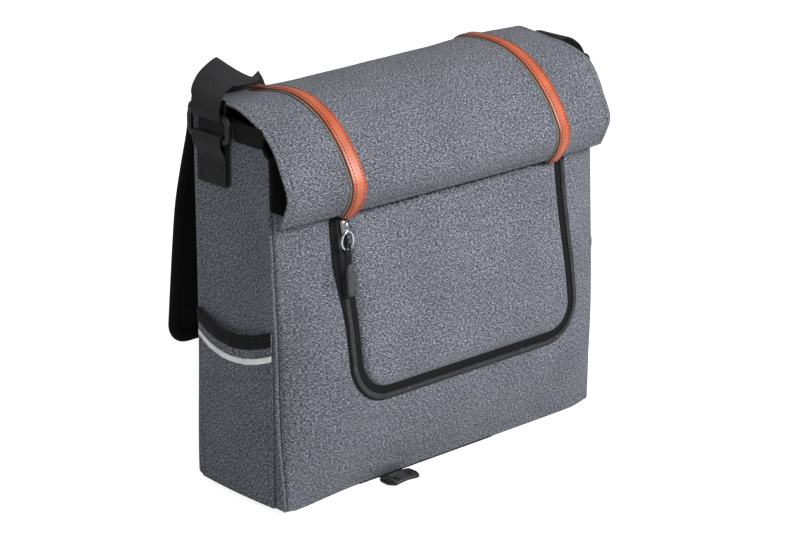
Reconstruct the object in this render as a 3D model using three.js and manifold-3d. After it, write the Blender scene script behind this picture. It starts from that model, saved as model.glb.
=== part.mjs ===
// A messenger bag for commuting, standing upright and full: grey melange canvas body, a roll-shaped
// main flap with two leather strips, a zipped front pocket, two side pockets, a rear cover flap
// and a webbing shoulder strap on two plastic rings.
//
// Frame, in millimetres: +Z up, the bag's front faces -Y, its left side (seen from the front) is -X.
// The origin is the centre of the base, on the surface that the bag stands on.
import * as THREE from "three";
import { mergeVertices } from "three/addons/utils/BufferGeometryUtils.js";
import Module from "manifold-3d";

const wasm = await Module();
wasm.setup();

// ---- Driving dimensions ----------------------------------------------------------------------

const GAP = 0.3; // running gap between pieces that touch
const WIDTH = 380; // outside, gusset to gusset
const DEPTH = 107; // outside, front seam to back seam
const PANEL = 3; // padded canvas wall
const SIDE_HEIGHT = 336; // top of the gussets
const BACK_HEIGHT = 331.5; // top of the back wall, where both flaps are sewn on
const FRONT_HEIGHT = 312; // top of the front wall, under the flap
const HALF_W = WIDTH / 2;
const HALF_D = DEPTH / 2;

const BOARD = 3; // stiffening board
const LINING = 1;
const SLEEVE_Y = [30, 34]; // padded divider of the laptop sleeve
const SLEEVE_HEIGHT = 270;

const POCKET_X = 7; // middle of the zipped pocket
const POCKET_HALF = 124; // half width of the raised pocket panel
const POCKET_BOTTOM = 100; // lower edge of the raised pocket panel
const POCKET_CORNER = 27; // its lower corner radius
const POCKET_TOP = 251.5; // where it bends out, just under the flap's hem
const POCKET_RAISE = 5;
const TAPE_INNER = [0.4, 6.6]; // distances outwards from the panel's edge
const COIL_INNER = [6.9, 9.2];
const COIL_OUTER = [9.5, 11.8];
const TAPE_OUTER = [12.1, 17.5];
const ZIP_MIDDLE = 9.35;

const FLAP_SHELL = 2.2;
const FLAP_LINING = 1.2;
const FLAP_GAP = 0.8;
const STRIP_X = 121; // middle of each leather strip, left and right
const STRIP_WIDTH = 14;
const STRIP_THICK = 1.6;
const BACKING_WIDTH = 18;
const BACKING_THICK = 0.8;

const WEBBING = 38; // strap width
const WEB_THICK = 1.5;
const RING_Y = 22; // middle of each strap ring
const RING_Z = { left: 327, right: 319 }; // the left ring is pulled up by the strap, the right one hangs
const RING_SIZE = [51, 20]; // between bar centres, along Y and Z
const RING_BAR = 2.6; // bar radius
const RING_X = HALF_W + 4.6;
const ANCHOR_LOW = 277; // lower end of the webbing that holds each ring

const SIDE_POCKET_TOP = 156;
const SIDE_POCKET_HALF = 47;

const REAR_HALF = 189;
const REAR_BOTTOM = 110;

// ---- Colours ---------------------------------------------------------------------------------

const MATERIALS = {
  canvas: { color: 0x474c54, roughness: 0.95, metalness: 0 },
  lining: { color: 0x101113, roughness: 0.9, metalness: 0 },
  black_fabric: { color: 0x17181a, roughness: 0.85, metalness: 0 },
  leather: { color: 0xb5501f, roughness: 0.35, metalness: 0 },
  ribbon: { color: 0x8a7c62, roughness: 0.9, metalness: 0 },
  webbing: { color: 0x1b1c1f, roughness: 0.8, metalness: 0 },
  plastic: { color: 0x101113, roughness: 0.4, metalness: 0 },
  chrome: { color: 0xd8dade, roughness: 0.15, metalness: 1 },
  reflector: { color: 0xa8abb0, roughness: 0.35, metalness: 0.3 },
  board: { color: 0x2b2b2b, roughness: 0.9, metalness: 0 },
};

const bag = new THREE.Group();

function addPiece(name, geometry, look) {
  const mesh = new THREE.Mesh(geometry, new THREE.MeshStandardMaterial(MATERIALS[look]));
  mesh.name = name;
  bag.add(mesh);
}

// ---- Shape helpers ---------------------------------------------------------------------------

const point = (x, y, z) => new THREE.Vector3(x, y, z);

function signedVolume(positions, index) {
  const corner = (i) => new THREE.Vector3().fromArray(positions, index[i] * 3);
  let volume = 0;
  for (let i = 0; i < index.length; i += 3) {
    volume += corner(i).dot(corner(i + 1).cross(corner(i + 2)));
  }
  return volume;
}

// A closed solid through rings of points. An open row of rings gets an end face at each end, made
// as a strip between the two halves of the ring; looped rings join end to end.
function loft(rings, looped = false) {
  const size = rings[0].length;
  const positions = rings.flatMap((ring) => ring.flatMap((p) => [p.x, p.y, p.z]));
  const index = [];
  const spans = looped ? rings.length : rings.length - 1;
  for (let i = 0; i < spans; i++) {
    const here = i * size;
    const next = ((i + 1) % rings.length) * size;
    for (let j = 0; j < size; j++) {
      const k = (j + 1) % size;
      index.push(here + j, here + k, next + k, here + j, next + k, next + j);
    }
  }
  if (!looped) {
    const last = (rings.length - 1) * size;
    for (let j = 0; j < size / 2 - 1; j++) {
      const opposite = size - 1 - j;
      index.push(j + 1, j, opposite, j + 1, opposite, opposite - 1);
      index.push(last + j, last + j + 1, last + opposite);
      index.push(last + j + 1, last + opposite - 1, last + opposite);
    }
  }
  if (signedVolume(positions, index) < 0) index.reverse();
  const geometry = new THREE.BufferGeometry();
  geometry.setAttribute("position", new THREE.Float32BufferAttribute(positions, 3));
  geometry.setIndex(index);
  return geometry;
}

// One ring from the outer and the inner edge of a cut through a thin sheet.
const cut = (outer, inner) => [...outer, ...[...inner].reverse()];

const steps = (from, to, count) =>
  Array.from({ length: count + 1 }, (_, i) => from + ((to - from) * i) / count);

const smooth = (points, count) =>
  new THREE.CatmullRomCurve3(points, false, "centripetal").getSpacedPoints(count);

// A flat band along a path. Sides are the directions across the band, one for each path point.
function band(path, sides, width, thick) {
  const rings = path.map((p, i) => {
    const ahead = path[Math.min(i + 1, path.length - 1)];
    const behind = path[Math.max(i - 1, 0)];
    const along = ahead.clone().sub(behind).normalize();
    const side = sides[i].clone().addScaledVector(along, -sides[i].dot(along)).normalize();
    const normal = along.clone().cross(side);
    const acrossBy = (a) => p.clone().addScaledVector(side, a * width / 2);
    const at = (a, b) => acrossBy(a).addScaledVector(normal, b * thick / 2);
    return [at(1, 1), at(-1, 1), at(-1, -1), at(1, -1)];
  });
  return loft(rings);
}

function box(low, high) {
  const size = high.map((h, i) => h - low[i]);
  const middle = high.map((h, i) => (h + low[i]) / 2);
  return new THREE.BoxGeometry(...size).translate(...middle);
}

// A plate of constant thickness: an outline in the plane of two axes, extruded along X.
function plateAlongX(shape, fromX, thick, curveSegments = 6) {
  const geometry = new THREE.ExtrudeGeometry(shape, { depth: thick, bevelEnabled: false, curveSegments });
  // The shape's x is the bag's Y and its y is the bag's Z.
  const turn = new THREE.Matrix4().makeBasis(point(0, 1, 0), point(0, 0, 1), point(1, 0, 0));
  return geometry.applyMatrix4(turn).translate(fromX, 0, 0);
}

// The same for an outline whose x is the bag's X and whose y is its Z, extruded forwards, along -Y.
function plateForwards(shape, fromY, thick, curveSegments = 6) {
  const geometry = new THREE.ExtrudeGeometry(shape, { depth: thick, bevelEnabled: false, curveSegments });
  const turn = new THREE.Matrix4().makeBasis(point(1, 0, 0), point(0, 0, 1), point(0, -1, 0));
  return geometry.applyMatrix4(turn).translate(0, fromY, 0);
}

function roundedRectangle(x0, y0, x1, y1, r) {
  const shape = new THREE.Shape();
  shape.moveTo(x0 + r, y0);
  shape.lineTo(x1 - r, y0);
  shape.absarc(x1 - r, y0 + r, r, -Math.PI / 2, 0, false);
  shape.lineTo(x1, y1 - r);
  shape.absarc(x1 - r, y1 - r, r, 0, Math.PI / 2, false);
  shape.lineTo(x0 + r, y1);
  shape.absarc(x0 + r, y1 - r, r, Math.PI / 2, Math.PI, false);
  shape.lineTo(x0, y0 + r);
  shape.absarc(x0 + r, y0 + r, r, Math.PI, Math.PI * 1.5, false);
  return shape;
}

function toSolid(geometry) {
  const bare = geometry.clone();
  bare.deleteAttribute("normal");
  bare.deleteAttribute("uv");
  const merged = mergeVertices(bare, 1e-4);
  return new wasm.Manifold(
    new wasm.Mesh({
      numProp: 3,
      vertProperties: merged.attributes.position.array,
      triVerts: new Uint32Array(merged.index.array),
    }),
  );
}

function toGeometry(solid) {
  const mesh = solid.getMesh();
  const geometry = new THREE.BufferGeometry();
  geometry.setAttribute("position", new THREE.BufferAttribute(mesh.vertProperties, 3));
  geometry.setIndex(new THREE.BufferAttribute(mesh.triVerts, 1));
  return geometry;
}

// ---- Body ------------------------------------------------------------------------------------

// How far the full bag's front stands out of the flat, by height.
const BULGE_HEIGHTS = [0, 10, 25, 60, 105, 147, 192, 218, 250, 300, 340];
const BULGE_DEPTHS = [1, 5, 13, 24, 29, 24.5, 15.5, 10.5, 6, 2, 0];
const bulge = new THREE.CubicInterpolant(BULGE_HEIGHTS, BULGE_DEPTHS, 1);

function frontY(x, z) {
  const flatness = 1 - Math.pow(Math.min(Math.abs(x) / HALF_W, 1), 8);
  return -HALF_D - bulge.evaluate(z)[0] * flatness;
}

// The front pocket's outline, grown outwards by a distance: left leg, lower corners, right leg.
function pocketOutline(grow, legSteps, cornerSteps, baseSteps) {
  const half = POCKET_HALF + grow;
  const radius = POCKET_CORNER + grow;
  const low = POCKET_BOTTOM - grow;
  const points = [];
  const turn = (side, from, to) => {
    for (const angle of steps(from, to, cornerSteps)) {
      const x = POCKET_X + side * (half - radius) + radius * Math.cos(angle);
      points.push([x, low + radius + radius * Math.sin(angle)]);
    }
  };
  for (const z of steps(POCKET_TOP, low + radius, legSteps).slice(0, -1)) {
    points.push([POCKET_X - half, z]);
  }
  turn(-1, Math.PI, Math.PI * 1.5);
  for (const x of steps(POCKET_X - half + radius, POCKET_X + half - radius, baseSteps).slice(1, -1)) {
    points.push([x, low]);
  }
  turn(1, -Math.PI / 2, 0);
  for (const z of steps(low + radius, POCKET_TOP, legSteps).slice(1)) {
    points.push([POCKET_X + half, z]);
  }
  return points;
}

function frontPanel() {
  const bottom = PANEL + GAP;
  const heights = [bottom, 10, 20, 32, 48, 66, 86, 105, 125, 147, 170, 192, 218, 250, 280, FRONT_HEIGHT];
  const across = [...steps(-HALF_W, -HALF_W + 70, 7), ...steps(-100, 100, 6).slice(1, -1)];
  across.push(...steps(HALF_W - 70, HALF_W, 7));
  const rings = across.map((x) =>
    cut(
      heights.map((z) => point(x, frontY(x, z), z)),
      heights.map((z) => point(x, frontY(x, z) + PANEL, z)),
    ),
  );
  const outline = pocketOutline(ZIP_MIDDLE, 2, 5, 2);
  const hole = new THREE.Shape(outline.map(([x, z]) => new THREE.Vector2(x, z)));
  const window = plateForwards(hole, -HALF_D + 10, HALF_D);
  return toGeometry(toSolid(loft(rings)).subtract(toSolid(window)));
}

addPiece("front_panel", frontPanel(), "canvas");
addPiece("back_panel", box([-HALF_W, HALF_D - PANEL, PANEL + GAP], [HALF_W, HALF_D, BACK_HEIGHT]), "canvas");
addPiece("base_panel", box([-HALF_W, -HALF_D, 0], [HALF_W, HALF_D, PANEL]), "canvas");

const gussetShape = new THREE.Shape();
gussetShape.moveTo(-HALF_D + PANEL + 0.4, PANEL + GAP);
gussetShape.lineTo(HALF_D - PANEL - GAP, PANEL + GAP);
gussetShape.lineTo(HALF_D - PANEL - GAP, SIDE_HEIGHT);
gussetShape.lineTo(-14, SIDE_HEIGHT);
gussetShape.quadraticCurveTo(-46, SIDE_HEIGHT - 4, -HALF_D + PANEL + 0.4, SIDE_HEIGHT - 42);

const WALL_IN = HALF_D - PANEL - GAP;
const BOARD_IN = WALL_IN - BOARD - GAP;
const FLOOR_IN = PANEL + GAP + BOARD + GAP;
const LINING_HALF = HALF_W - PANEL - GAP;
addPiece(
  "back_board",
  box([-LINING_HALF + 2, WALL_IN - BOARD, FLOOR_IN], [LINING_HALF - 2, WALL_IN, BACK_HEIGHT - 8]),
  "board",
);
addPiece(
  "base_board",
  box([-LINING_HALF + 2, -WALL_IN + 1, PANEL + GAP], [LINING_HALF - 2, WALL_IN, PANEL + GAP + BOARD]),
  "board",
);

const liningTop = FRONT_HEIGHT - 2;
const liningBlock = toSolid(
  box([-LINING_HALF, -WALL_IN + GAP, FLOOR_IN], [LINING_HALF, BOARD_IN, liningTop]),
);
const liningRoom = toSolid(
  box(
    [-LINING_HALF + LINING, -WALL_IN + GAP + LINING, FLOOR_IN + LINING],
    [LINING_HALF - LINING, BOARD_IN - LINING, liningTop + 10],
  ),
);
addPiece("lining", toGeometry(liningBlock.subtract(liningRoom)), "lining");
addPiece(
  "sleeve_divider",
  box(
    [-LINING_HALF + 6, SLEEVE_Y[0], FLOOR_IN + LINING + GAP],
    [LINING_HALF - 6, SLEEVE_Y[1], SLEEVE_HEIGHT],
  ),
  "lining",
);

// ---- Zipped front pocket ---------------------------------------------------------------------

function pocketPanel() {
  const heights = [
    ...steps(POCKET_TOP, POCKET_BOTTOM + POCKET_CORNER, 9),
    ...steps(0, Math.PI / 2, 7).slice(1).map((a) => POCKET_BOTTOM + POCKET_CORNER * (1 - Math.sin(a))),
  ];
  const rings = heights.map((z) => {
    const sunk = Math.max(0, POCKET_BOTTOM + POCKET_CORNER - z);
    const inset = POCKET_CORNER - Math.sqrt(POCKET_CORNER ** 2 - sunk ** 2);
    const half = POCKET_HALF - inset;
    const across = steps(-half, half, 14).map((x) => x + POCKET_X);
    return cut(
      across.map((x) => point(x, frontY(x, z) - POCKET_RAISE, z)),
      across.map((x) => point(x, frontY(x, z), z)),
    );
  });
  return loft(rings);
}

// A band beside the pocket panel's edge: from one distance to another, lifted off the front.
function pocketBorder([near, far], lift, thick) {
  const edges = [near, far].map((grow) => pocketOutline(grow, 8, 6, 8));
  const rings = edges[0].map((nearPoint, i) => {
    const at = ([x, z], off) => point(x, frontY(x, z) - off, z);
    return [
      at(nearPoint, lift + thick),
      at(edges[1][i], lift + thick),
      at(edges[1][i], lift),
      at(nearPoint, lift),
    ];
  });
  return loft(rings);
}

addPiece("pocket_lid_panel", pocketPanel(), "canvas");
addPiece("zipper_tape_inner", pocketBorder(TAPE_INNER, 0.3, 0.9), "black_fabric");
addPiece("zip_coil_inner", pocketBorder(COIL_INNER, 0.3, 2.2), "plastic");
addPiece("zip_coil_outer", pocketBorder(COIL_OUTER, 0.5, 2.2), "plastic");
addPiece("zipper_tape_outer", pocketBorder(TAPE_OUTER, 0.5, 0.9), "black_fabric");

// The slider stands at the top of the left leg, on the lid's own coil.
const sliderX = POCKET_X - POCKET_HALF - ZIP_MIDDLE + 3.2;
const sliderZ = 244;
const sliderY = frontY(sliderX, sliderZ) - 3.3;
const sliderShape = new THREE.Shape();
sliderShape.moveTo(-2.6, -6);
sliderShape.lineTo(2.6, -6);
sliderShape.lineTo(3, 6);
sliderShape.lineTo(-3, 6);
const slideSlope = (frontY(sliderX, sliderZ) - frontY(sliderX, sliderZ - 100)) / 100;
const slider = plateForwards(sliderShape, 0, 3.4).rotateX(-Math.atan(slideSlope));
addPiece("zip_slider", slider.translate(sliderX, sliderY, sliderZ), "chrome");

// A bar of round section bent into a closed loop: loop points, and the direction square to its plane.
function closedBar(loop, square, radius, sides) {
  const rings = loop.map((p, i) => {
    const ahead = loop[(i + 1) % loop.length];
    const behind = loop[(i + loop.length - 1) % loop.length];
    const along = ahead.clone().sub(behind).normalize();
    const outward = along.clone().cross(square).normalize();
    return steps(0, Math.PI * 2, sides).slice(0, -1).map((angle) =>
      p.clone()
        .addScaledVector(outward, radius * Math.cos(angle))
        .addScaledVector(square, radius * Math.sin(angle)),
    );
  });
  return loft(rings, true);
}

const pullZ = sliderZ - 6;
const pullY = sliderY - 6.2;
const pullLoop = steps(0, Math.PI * 2, 16).slice(0, -1).map((angle) =>
  point(sliderX + 4.6 * Math.sin(angle), pullY, pullZ - 3.2 + 6.4 * Math.cos(angle)),
);
addPiece("zip_pull_ring", closedBar(pullLoop, point(0, 1, 0), 0.9, 6), "chrome");

// The pull: a cord loop that ends in a moulded, tapered tip.
const tipTop = pullZ - 10.8;
const tipProfile = [
  [0, tipTop],
  [1.6, tipTop],
  [1.9, tipTop - 22],
  [4.4, tipTop - 26],
  [4.9, tipTop - 46],
  [3.4, tipTop - 50],
  [0, tipTop - 50.5],
].map(([r, z]) => new THREE.Vector2(r, z));
const tip = new THREE.LatheGeometry(tipProfile.reverse(), 12);
tip.rotateX(Math.PI / 2);
const tipLean = -0.27;
tip.translate(0, 0, -tipTop).rotateX(tipLean).translate(sliderX, pullY - 0.4, tipTop);
addPiece("zip_puller", tip, "plastic");

// ---- Main flap -------------------------------------------------------------------------------

// The flap's outer profile as Y and Z, from its bend at the back to its hem at the front: at its
// middle, where the roll stands out most, and at its two ends. Its crest sinks towards the left.
const FLAP_MIDDLE = [
  [57, 334], [54.5, 343], [45, 350], [26, 353.5], [8, 353.5], [-12, 349.5], [-32, 340.5],
  [-50, 327.5], [-66, 311.5], [-77, 297], [-83, 283], [-80, 269], [-71, 257],
];
const FLAP_LEFT_END = [
  [57, 334], [54.5, 340.5], [45, 342.5], [26, 345.5], [8, 348.5], [-8, 348], [-26, 342],
  [-42, 334], [-56, 321], [-66, 303], [-74, 283], [-69, 267], [-62, 255.5],
];
const FLAP_RIGHT_END = [
  [57, 334], [54.5, 341.5], [46, 347], [27, 346], [4, 343.5], [-14, 342], [-31, 338],
  [-45, 332], [-55, 321], [-64, 304], [-73, 283], [-68, 267], [-62, 255.5],
];
const CREST_SAG = 9; // how far the crest sinks over the left half
const CREST_LEVEL_X = 155; // right of this place it stays level
const CREST_SINK_WIDTH = 230; // and this much further left it has sunk all the way
const SAG_SHARES = [0, 0.35, 1, 1, 0.8, 0.5, 0.2, 0, 0, 0, 0, 0, 0]; // for each place of the profile

function flapProfile(x, depth) {
  const weight = 1 - Math.pow(Math.abs(x) / HALF_W, 4);
  const sag = CREST_SAG * Math.min(1, Math.max(0, CREST_LEVEL_X - x) / CREST_SINK_WIDTH);
  const controls = FLAP_MIDDLE.map(([y, z], i) => {
    const [endY, endZ] = (x < 0 ? FLAP_LEFT_END : FLAP_RIGHT_END)[i];
    const middleZ = z - sag * SAG_SHARES[i];
    return point(x, endY + (y - endY) * weight, endZ + (middleZ - endZ) * weight);
  });
  const outer = smooth(controls, 20);
  return outer.map((p, i) => {
    const ahead = outer[Math.min(i + 1, outer.length - 1)];
    const behind = outer[Math.max(i - 1, 0)];
    const along = ahead.clone().sub(behind).normalize();
    const outward = point(0, along.z, -along.y);
    return p.clone().addScaledVector(outward, -depth);
  });
}

// A layer of the flap over a stretch of its width, between two depths under its outer surface. It
// may leave out the first places of the profile, beside the flap's seam at the back.
function flapLayer(fromX, toX, count, outerDepth, innerDepth, skip = 0) {
  const rings = steps(fromX, toX, count).map((x) =>
    cut(flapProfile(x, outerDepth).slice(skip), flapProfile(x, innerDepth).slice(skip)),
  );
  return loft(rings);
}

addPiece("main_flap_shell", flapLayer(-HALF_W, HALF_W, 12, 0, FLAP_SHELL), "canvas");
addPiece(
  "main_flap_lining",
  flapLayer(-HALF_W + 2, HALF_W - 2, 12, FLAP_SHELL + FLAP_GAP, FLAP_SHELL + FLAP_GAP + FLAP_LINING),
  "lining",
);

for (const [side, name] of [[-1, "left"], [1, "right"]]) {
  const middle = side * STRIP_X;
  const backingLow = middle - STRIP_WIDTH / 2 - 3;
  addPiece(
    "strip_backing_" + name,
    flapLayer(backingLow, backingLow + BACKING_WIDTH, 2, -GAP - BACKING_THICK, -GAP, 1),
    "ribbon",
  );
  const top = GAP * 2 + BACKING_THICK;
  addPiece(
    "leather_strip_" + name,
    flapLayer(middle - STRIP_WIDTH / 2, middle + STRIP_WIDTH / 2, 2, -top - STRIP_THICK, -top, 1),
    "leather",
  );
}

// ---- Left and right fittings -----------------------------------------------------------------

function sidePocketX(y, z) {
  const spread = 1 - (y / (SIDE_POCKET_HALF + 1)) ** 2;
  const fill = 0.35 + 0.65 * Math.min(1, z / SIDE_POCKET_TOP);
  return 0.6 + 5 * spread * fill;
}

// A band of the side pocket between two heights. Each height is a function of Y, so that an edge
// can dip in the middle; the thickness is added outside the pocket's own surface.
function pocketBand(side, halfY, low, high, rows, off, thick) {
  const rings = steps(-halfY, halfY, 10).map((y) => {
    const heights = steps(low(y), high(y), rows);
    const at = (z, extra) => point(side * (HALF_W + sidePocketX(y, z) + off + extra), y, z);
    return cut(heights.map((z) => at(z, thick)), heights.map((z) => at(z, 0)));
  });
  return loft(rings);
}

const dip = (y) => SIDE_POCKET_TOP - 4 + 10 * (y / SIDE_POCKET_HALF) ** 2;
const POCKET_CLOTH = 1.2;
const BINDING_HEIGHT = 12.5;
const STRIPE_HEIGHT = 5;

const ringCorner = 6;
const ringLoop = (x, z) => {
  const [sizeY, sizeZ] = RING_SIZE;
  const outline = roundedRectangle(-sizeY / 2, -sizeZ / 2, sizeY / 2, sizeZ / 2, ringCorner);
  const points = outline.getPoints(4);
  return points.slice(0, -1).map((p) => point(x, RING_Y + p.x, z + p.y));
};

// Webbing folded round a ring's bar: up the inner layer, round the bar, back down the outer layer.
function foldRound(side, barZ, upwards, innerEnd, outerPath) {
  const turn = RING_BAR + GAP + WEB_THICK / 2;
  const sign = upwards ? 1 : -1;
  const inner = HALF_W + 1.1;
  const path = [point(side * inner, RING_Y, innerEnd), point(side * inner, RING_Y, barZ - sign * 6)];
  for (const angle of steps(Math.PI, 0, 6)) {
    const x = side * (RING_X - turn * Math.cos(Math.PI - angle));
    path.push(point(x, RING_Y, barZ + sign * turn * Math.sin(angle)));
  }
  path.push(...outerPath);
  return path;
}

for (const [side, name] of [[-1, "left"], [1, "right"]]) {
  addPiece(name + "_gusset", plateAlongX(gussetShape, side < 0 ? -HALF_W : HALF_W - PANEL, PANEL), "canvas");

  const cloth = pocketBand(side, SIDE_POCKET_HALF, () => 4, (y) => dip(y) - 0.5, 6, 0, POCKET_CLOTH);
  addPiece("side_pocket_" + name, cloth, "canvas");
  const skin = POCKET_CLOTH + GAP;
  addPiece(
    "side_pocket_binding_" + name,
    pocketBand(side, SIDE_POCKET_HALF, (y) => dip(y) - BINDING_HEIGHT, dip, 2, skin, 1.2),
    "black_fabric",
  );
  addPiece(
    "side_reflector_" + name,
    pocketBand(
      side,
      SIDE_POCKET_HALF,
      (y) => dip(y) - BINDING_HEIGHT - 8.5 - STRIPE_HEIGHT,
      (y) => dip(y) - BINDING_HEIGHT - 8.5,
      1,
      skin,
      0.4,
    ),
    "reflector",
  );

  const ring = ringLoop(side * RING_X, RING_Z[name]);
  addPiece("strap_ring_" + name, closedBar(ring, point(1, 0, 0), RING_BAR, 8), "plastic");

  const lowBar = RING_Z[name] - RING_SIZE[1] / 2;
  const across = point(0, 1, 0);
  const anchor = foldRound(side, lowBar, true, ANCHOR_LOW, [
    point(side * (RING_X + 3.0), RING_Y, lowBar - 6),
    point(side * (HALF_W + 3.2), RING_Y, lowBar - 14),
    point(side * (HALF_W + 3.0), RING_Y, lowBar - 20),
    point(side * (HALF_W + 3.0), RING_Y, ANCHOR_LOW),
  ]);
  addPiece("strap_anchor_" + name, band(anchor, anchor.map(() => across), WEBBING, WEB_THICK), "webbing");

  const tab = plateAlongX(roundedRectangle(-44, 320, -8, SIDE_HEIGHT - 1, 7), 0, 2);
  tab.translate(side < 0 ? -HALF_W - GAP - 2 : HALF_W + GAP, 0, 0);
  addPiece("gusset_tab_" + name, tab, "black_fabric");
}

// ---- Shoulder strap --------------------------------------------------------------------------

// Webbing through key places, each given with the direction across the band there.
function curvedBand(keys, count, before = []) {
  const places = new THREE.CatmullRomCurve3(keys.map(([place]) => point(...place)));
  const across = new THREE.CatmullRomCurve3(keys.map(([, side]) => point(...side)));
  const path = [...before, ...steps(0, 1, count).map((t) => places.getPoint(t))];
  const turning = steps(0, 1, count).map((t) => across.getPoint(t));
  const sides = [...before.map(() => across.getPoint(0)), ...turning];
  return band(path, sides, WEBBING, WEB_THICK);
}

// Each end folds round the upper bar of its ring. The left one leans in over the corner of the
// main flap and falls behind the back; the right one flops outwards and comes round the corner.
const leftBar = RING_Z.left + RING_SIZE[1] / 2;
const rightBar = RING_Z.right + RING_SIZE[1] / 2;
const LEFT_END = [
  [[-198.8, 22, 343.5], [0, 1, 0]],
  [[-194.5, 23, 354], [0, 1, 0.05]],
  [[-184.5, 27, 361], [-0.05, 0.98, 0.15]],
  [[-170, 32, 364], [-0.2, 0.9, 0.35]],
  [[-155, 38, 364.5], [-0.42, 0.72, 0.5]],
  [[-144, 47, 360], [-0.66, 0.52, 0.45]],
  [[-135, 58, 352], [-0.87, 0.33, 0.25]],
  [[-125, 65, 342], [-0.98, 0.1, 0.03]],
  [[-116, 66.5, 332], [-1, 0, 0]],
];
const RIGHT_END = [
  [[198.8, 22, 334.5], [0, 1, 0]],
  [[204, 22, 339.5], [0, 1, 0]],
  [[213, 21, 339.5], [0, 1, 0]],
  [[225, 21, 332.5], [0, 1, 0]],
  [[235, 24, 320], [-0.05, 1, 0]],
  [[239, 33, 306], [-0.2, 0.95, 0.2]],
  [[233, 49, 293], [-0.5, 0.7, 0.5]],
  [[218, 66, 282], [-0.7, 0.4, 0.6]],
  [[201, 77.5, 271], [-0.75, 0.1, 0.65]],
  [[189, 80.5, 262], [-0.75, -0.16, 0.65]],
];
addPiece(
  "strap_end_left",
  curvedBand(LEFT_END, 20, foldRound(-1, leftBar, false, leftBar + 14, [])),
  "webbing",
);
addPiece(
  "strap_end_right",
  curvedBand(RIGHT_END, 24, foldRound(1, rightBar, false, rightBar + 14, [])),
  "webbing",
);

// ---- Rear cover flap -------------------------------------------------------------------------

const REAR_PROFILE = [[57.8, 331], [61, 314], [71, 280], [80, 245], [86, 205], [91, 165], [97.5, REAR_BOTTOM]];
const rearCurve = smooth(REAR_PROFILE.map(([y, z]) => point(0, y, z)), 24);

// The rear flap's outer surface at a height, with an extra distance outwards.
function rearY(z) {
  const i = rearCurve.findIndex((p) => p.z <= z);
  if (i <= 0) return i < 0 ? rearCurve[rearCurve.length - 1].y : rearCurve[0].y;
  const [a, b] = [rearCurve[i - 1], rearCurve[i]];
  return a.y + ((b.y - a.y) * (a.z - z)) / (a.z - b.z);
}

function rearLayer(half, fromZ, toZ, corner, off, thick) {
  const heights = [
    ...steps(fromZ, toZ + corner, 12),
    ...steps(0, Math.PI / 2, 5).slice(1).map((a) => toZ + corner * (1 - Math.sin(a))),
  ];
  const rings = heights.map((z) => {
    const sunk = Math.max(0, toZ + corner - z);
    const width = half - (corner - Math.sqrt(corner ** 2 - sunk ** 2));
    const across = steps(-width, width, 6);
    return cut(
      across.map((x) => point(x, rearY(z) + off, z)),
      across.map((x) => point(x, rearY(z) + off - thick, z)),
    );
  });
  return loft(rings);
}

addPiece("rear_cover_flap", rearLayer(REAR_HALF, 330.5, REAR_BOTTOM, 22, 0, 2.4), "black_fabric");
addPiece("rear_flap_edging", rearLayer(REAR_HALF - 3, 150, REAR_BOTTOM + 3, 20, -2.7, 1), "webbing");

// The strap's middle hangs in a loop on the rear flap, from its left leg to the flap's right edge.
const LEG_X = -116;
const LOOP_ROUTE = [
  [LEG_X, 322], [LEG_X, 298], [LEG_X, 274], [-112, 248], [-102, 221], [-84, 195], [-56, 172],
  [-20, 158], [20, 154], [60, 159], [98, 174], [131, 197], [157, 224], [176, 247], [184, 256.5],
];
const LOOP_LIFT = 3.4; // the loop's middle over the flap's outer surface
const loopCurve = new THREE.CatmullRomCurve3(LOOP_ROUTE.map(([x, z]) => point(x, 0, z)));
const loopPath = loopCurve.getSpacedPoints(44).map((p) => point(p.x, rearY(p.z) + LOOP_LIFT, p.z));
const rearLean = (z) => (rearY(z + 12) - rearY(z - 12)) / 24;
const loopSides = loopPath.map((p, i) => {
  const ahead = loopPath[Math.min(i + 1, loopPath.length - 1)];
  const behind = loopPath[Math.max(i - 1, 0)];
  const side = ahead.clone().sub(behind).cross(point(0, 1, 0)).normalize();
  side.y = side.z * rearLean(p.z);
  return side;
});
addPiece("strap_loop", band(loopPath, loopSides, WEBBING, WEB_THICK), "webbing");

// A tri-glide adjuster on the loop's straight leg: a frame with two slots and a middle bar.
const ADJUSTER_Z = 304;
const glide = roundedRectangle(-25, -14, 25, 14, 4);
for (const low of [-9.5, 2.5]) glide.holes.push(roundedRectangle(-20, low, 20, low + 7, 1.5));
const glidePlate = plateForwards(glide, 0, 3, 3).translate(0, 3, 0);
glidePlate.rotateX(-Math.atan(rearLean(ADJUSTER_Z)));
const glideY = rearY(ADJUSTER_Z) + LOOP_LIFT + WEB_THICK / 2 + 1.2;
addPiece("strap_adjuster", glidePlate.translate(LEG_X, glideY, ADJUSTER_Z), "plastic");

// ---- Buckle under the front edge -------------------------------------------------------------

const buckleX = -64;
addPiece(
  "bottom_tab",
  box([buckleX - 13, -HALF_D - 7, 0.6], [buckleX + 13, -HALF_D - GAP, 2.1]),
  "webbing",
);
const buckle = roundedRectangle(-20, -10, 20, 10, 4);
buckle.holes.push(roundedRectangle(-14, -6.5, 14, -1.5, 1.2));
const bucklePlate = new THREE.ExtrudeGeometry(buckle, { depth: 5, bevelEnabled: false, curveSegments: 4 });
addPiece("bottom_buckle", bucklePlate.translate(buckleX, -HALF_D - 18, 0.4), "plastic");

export default bag;
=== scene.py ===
import math

import bpy
import numpy as np
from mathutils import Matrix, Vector, noise


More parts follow.
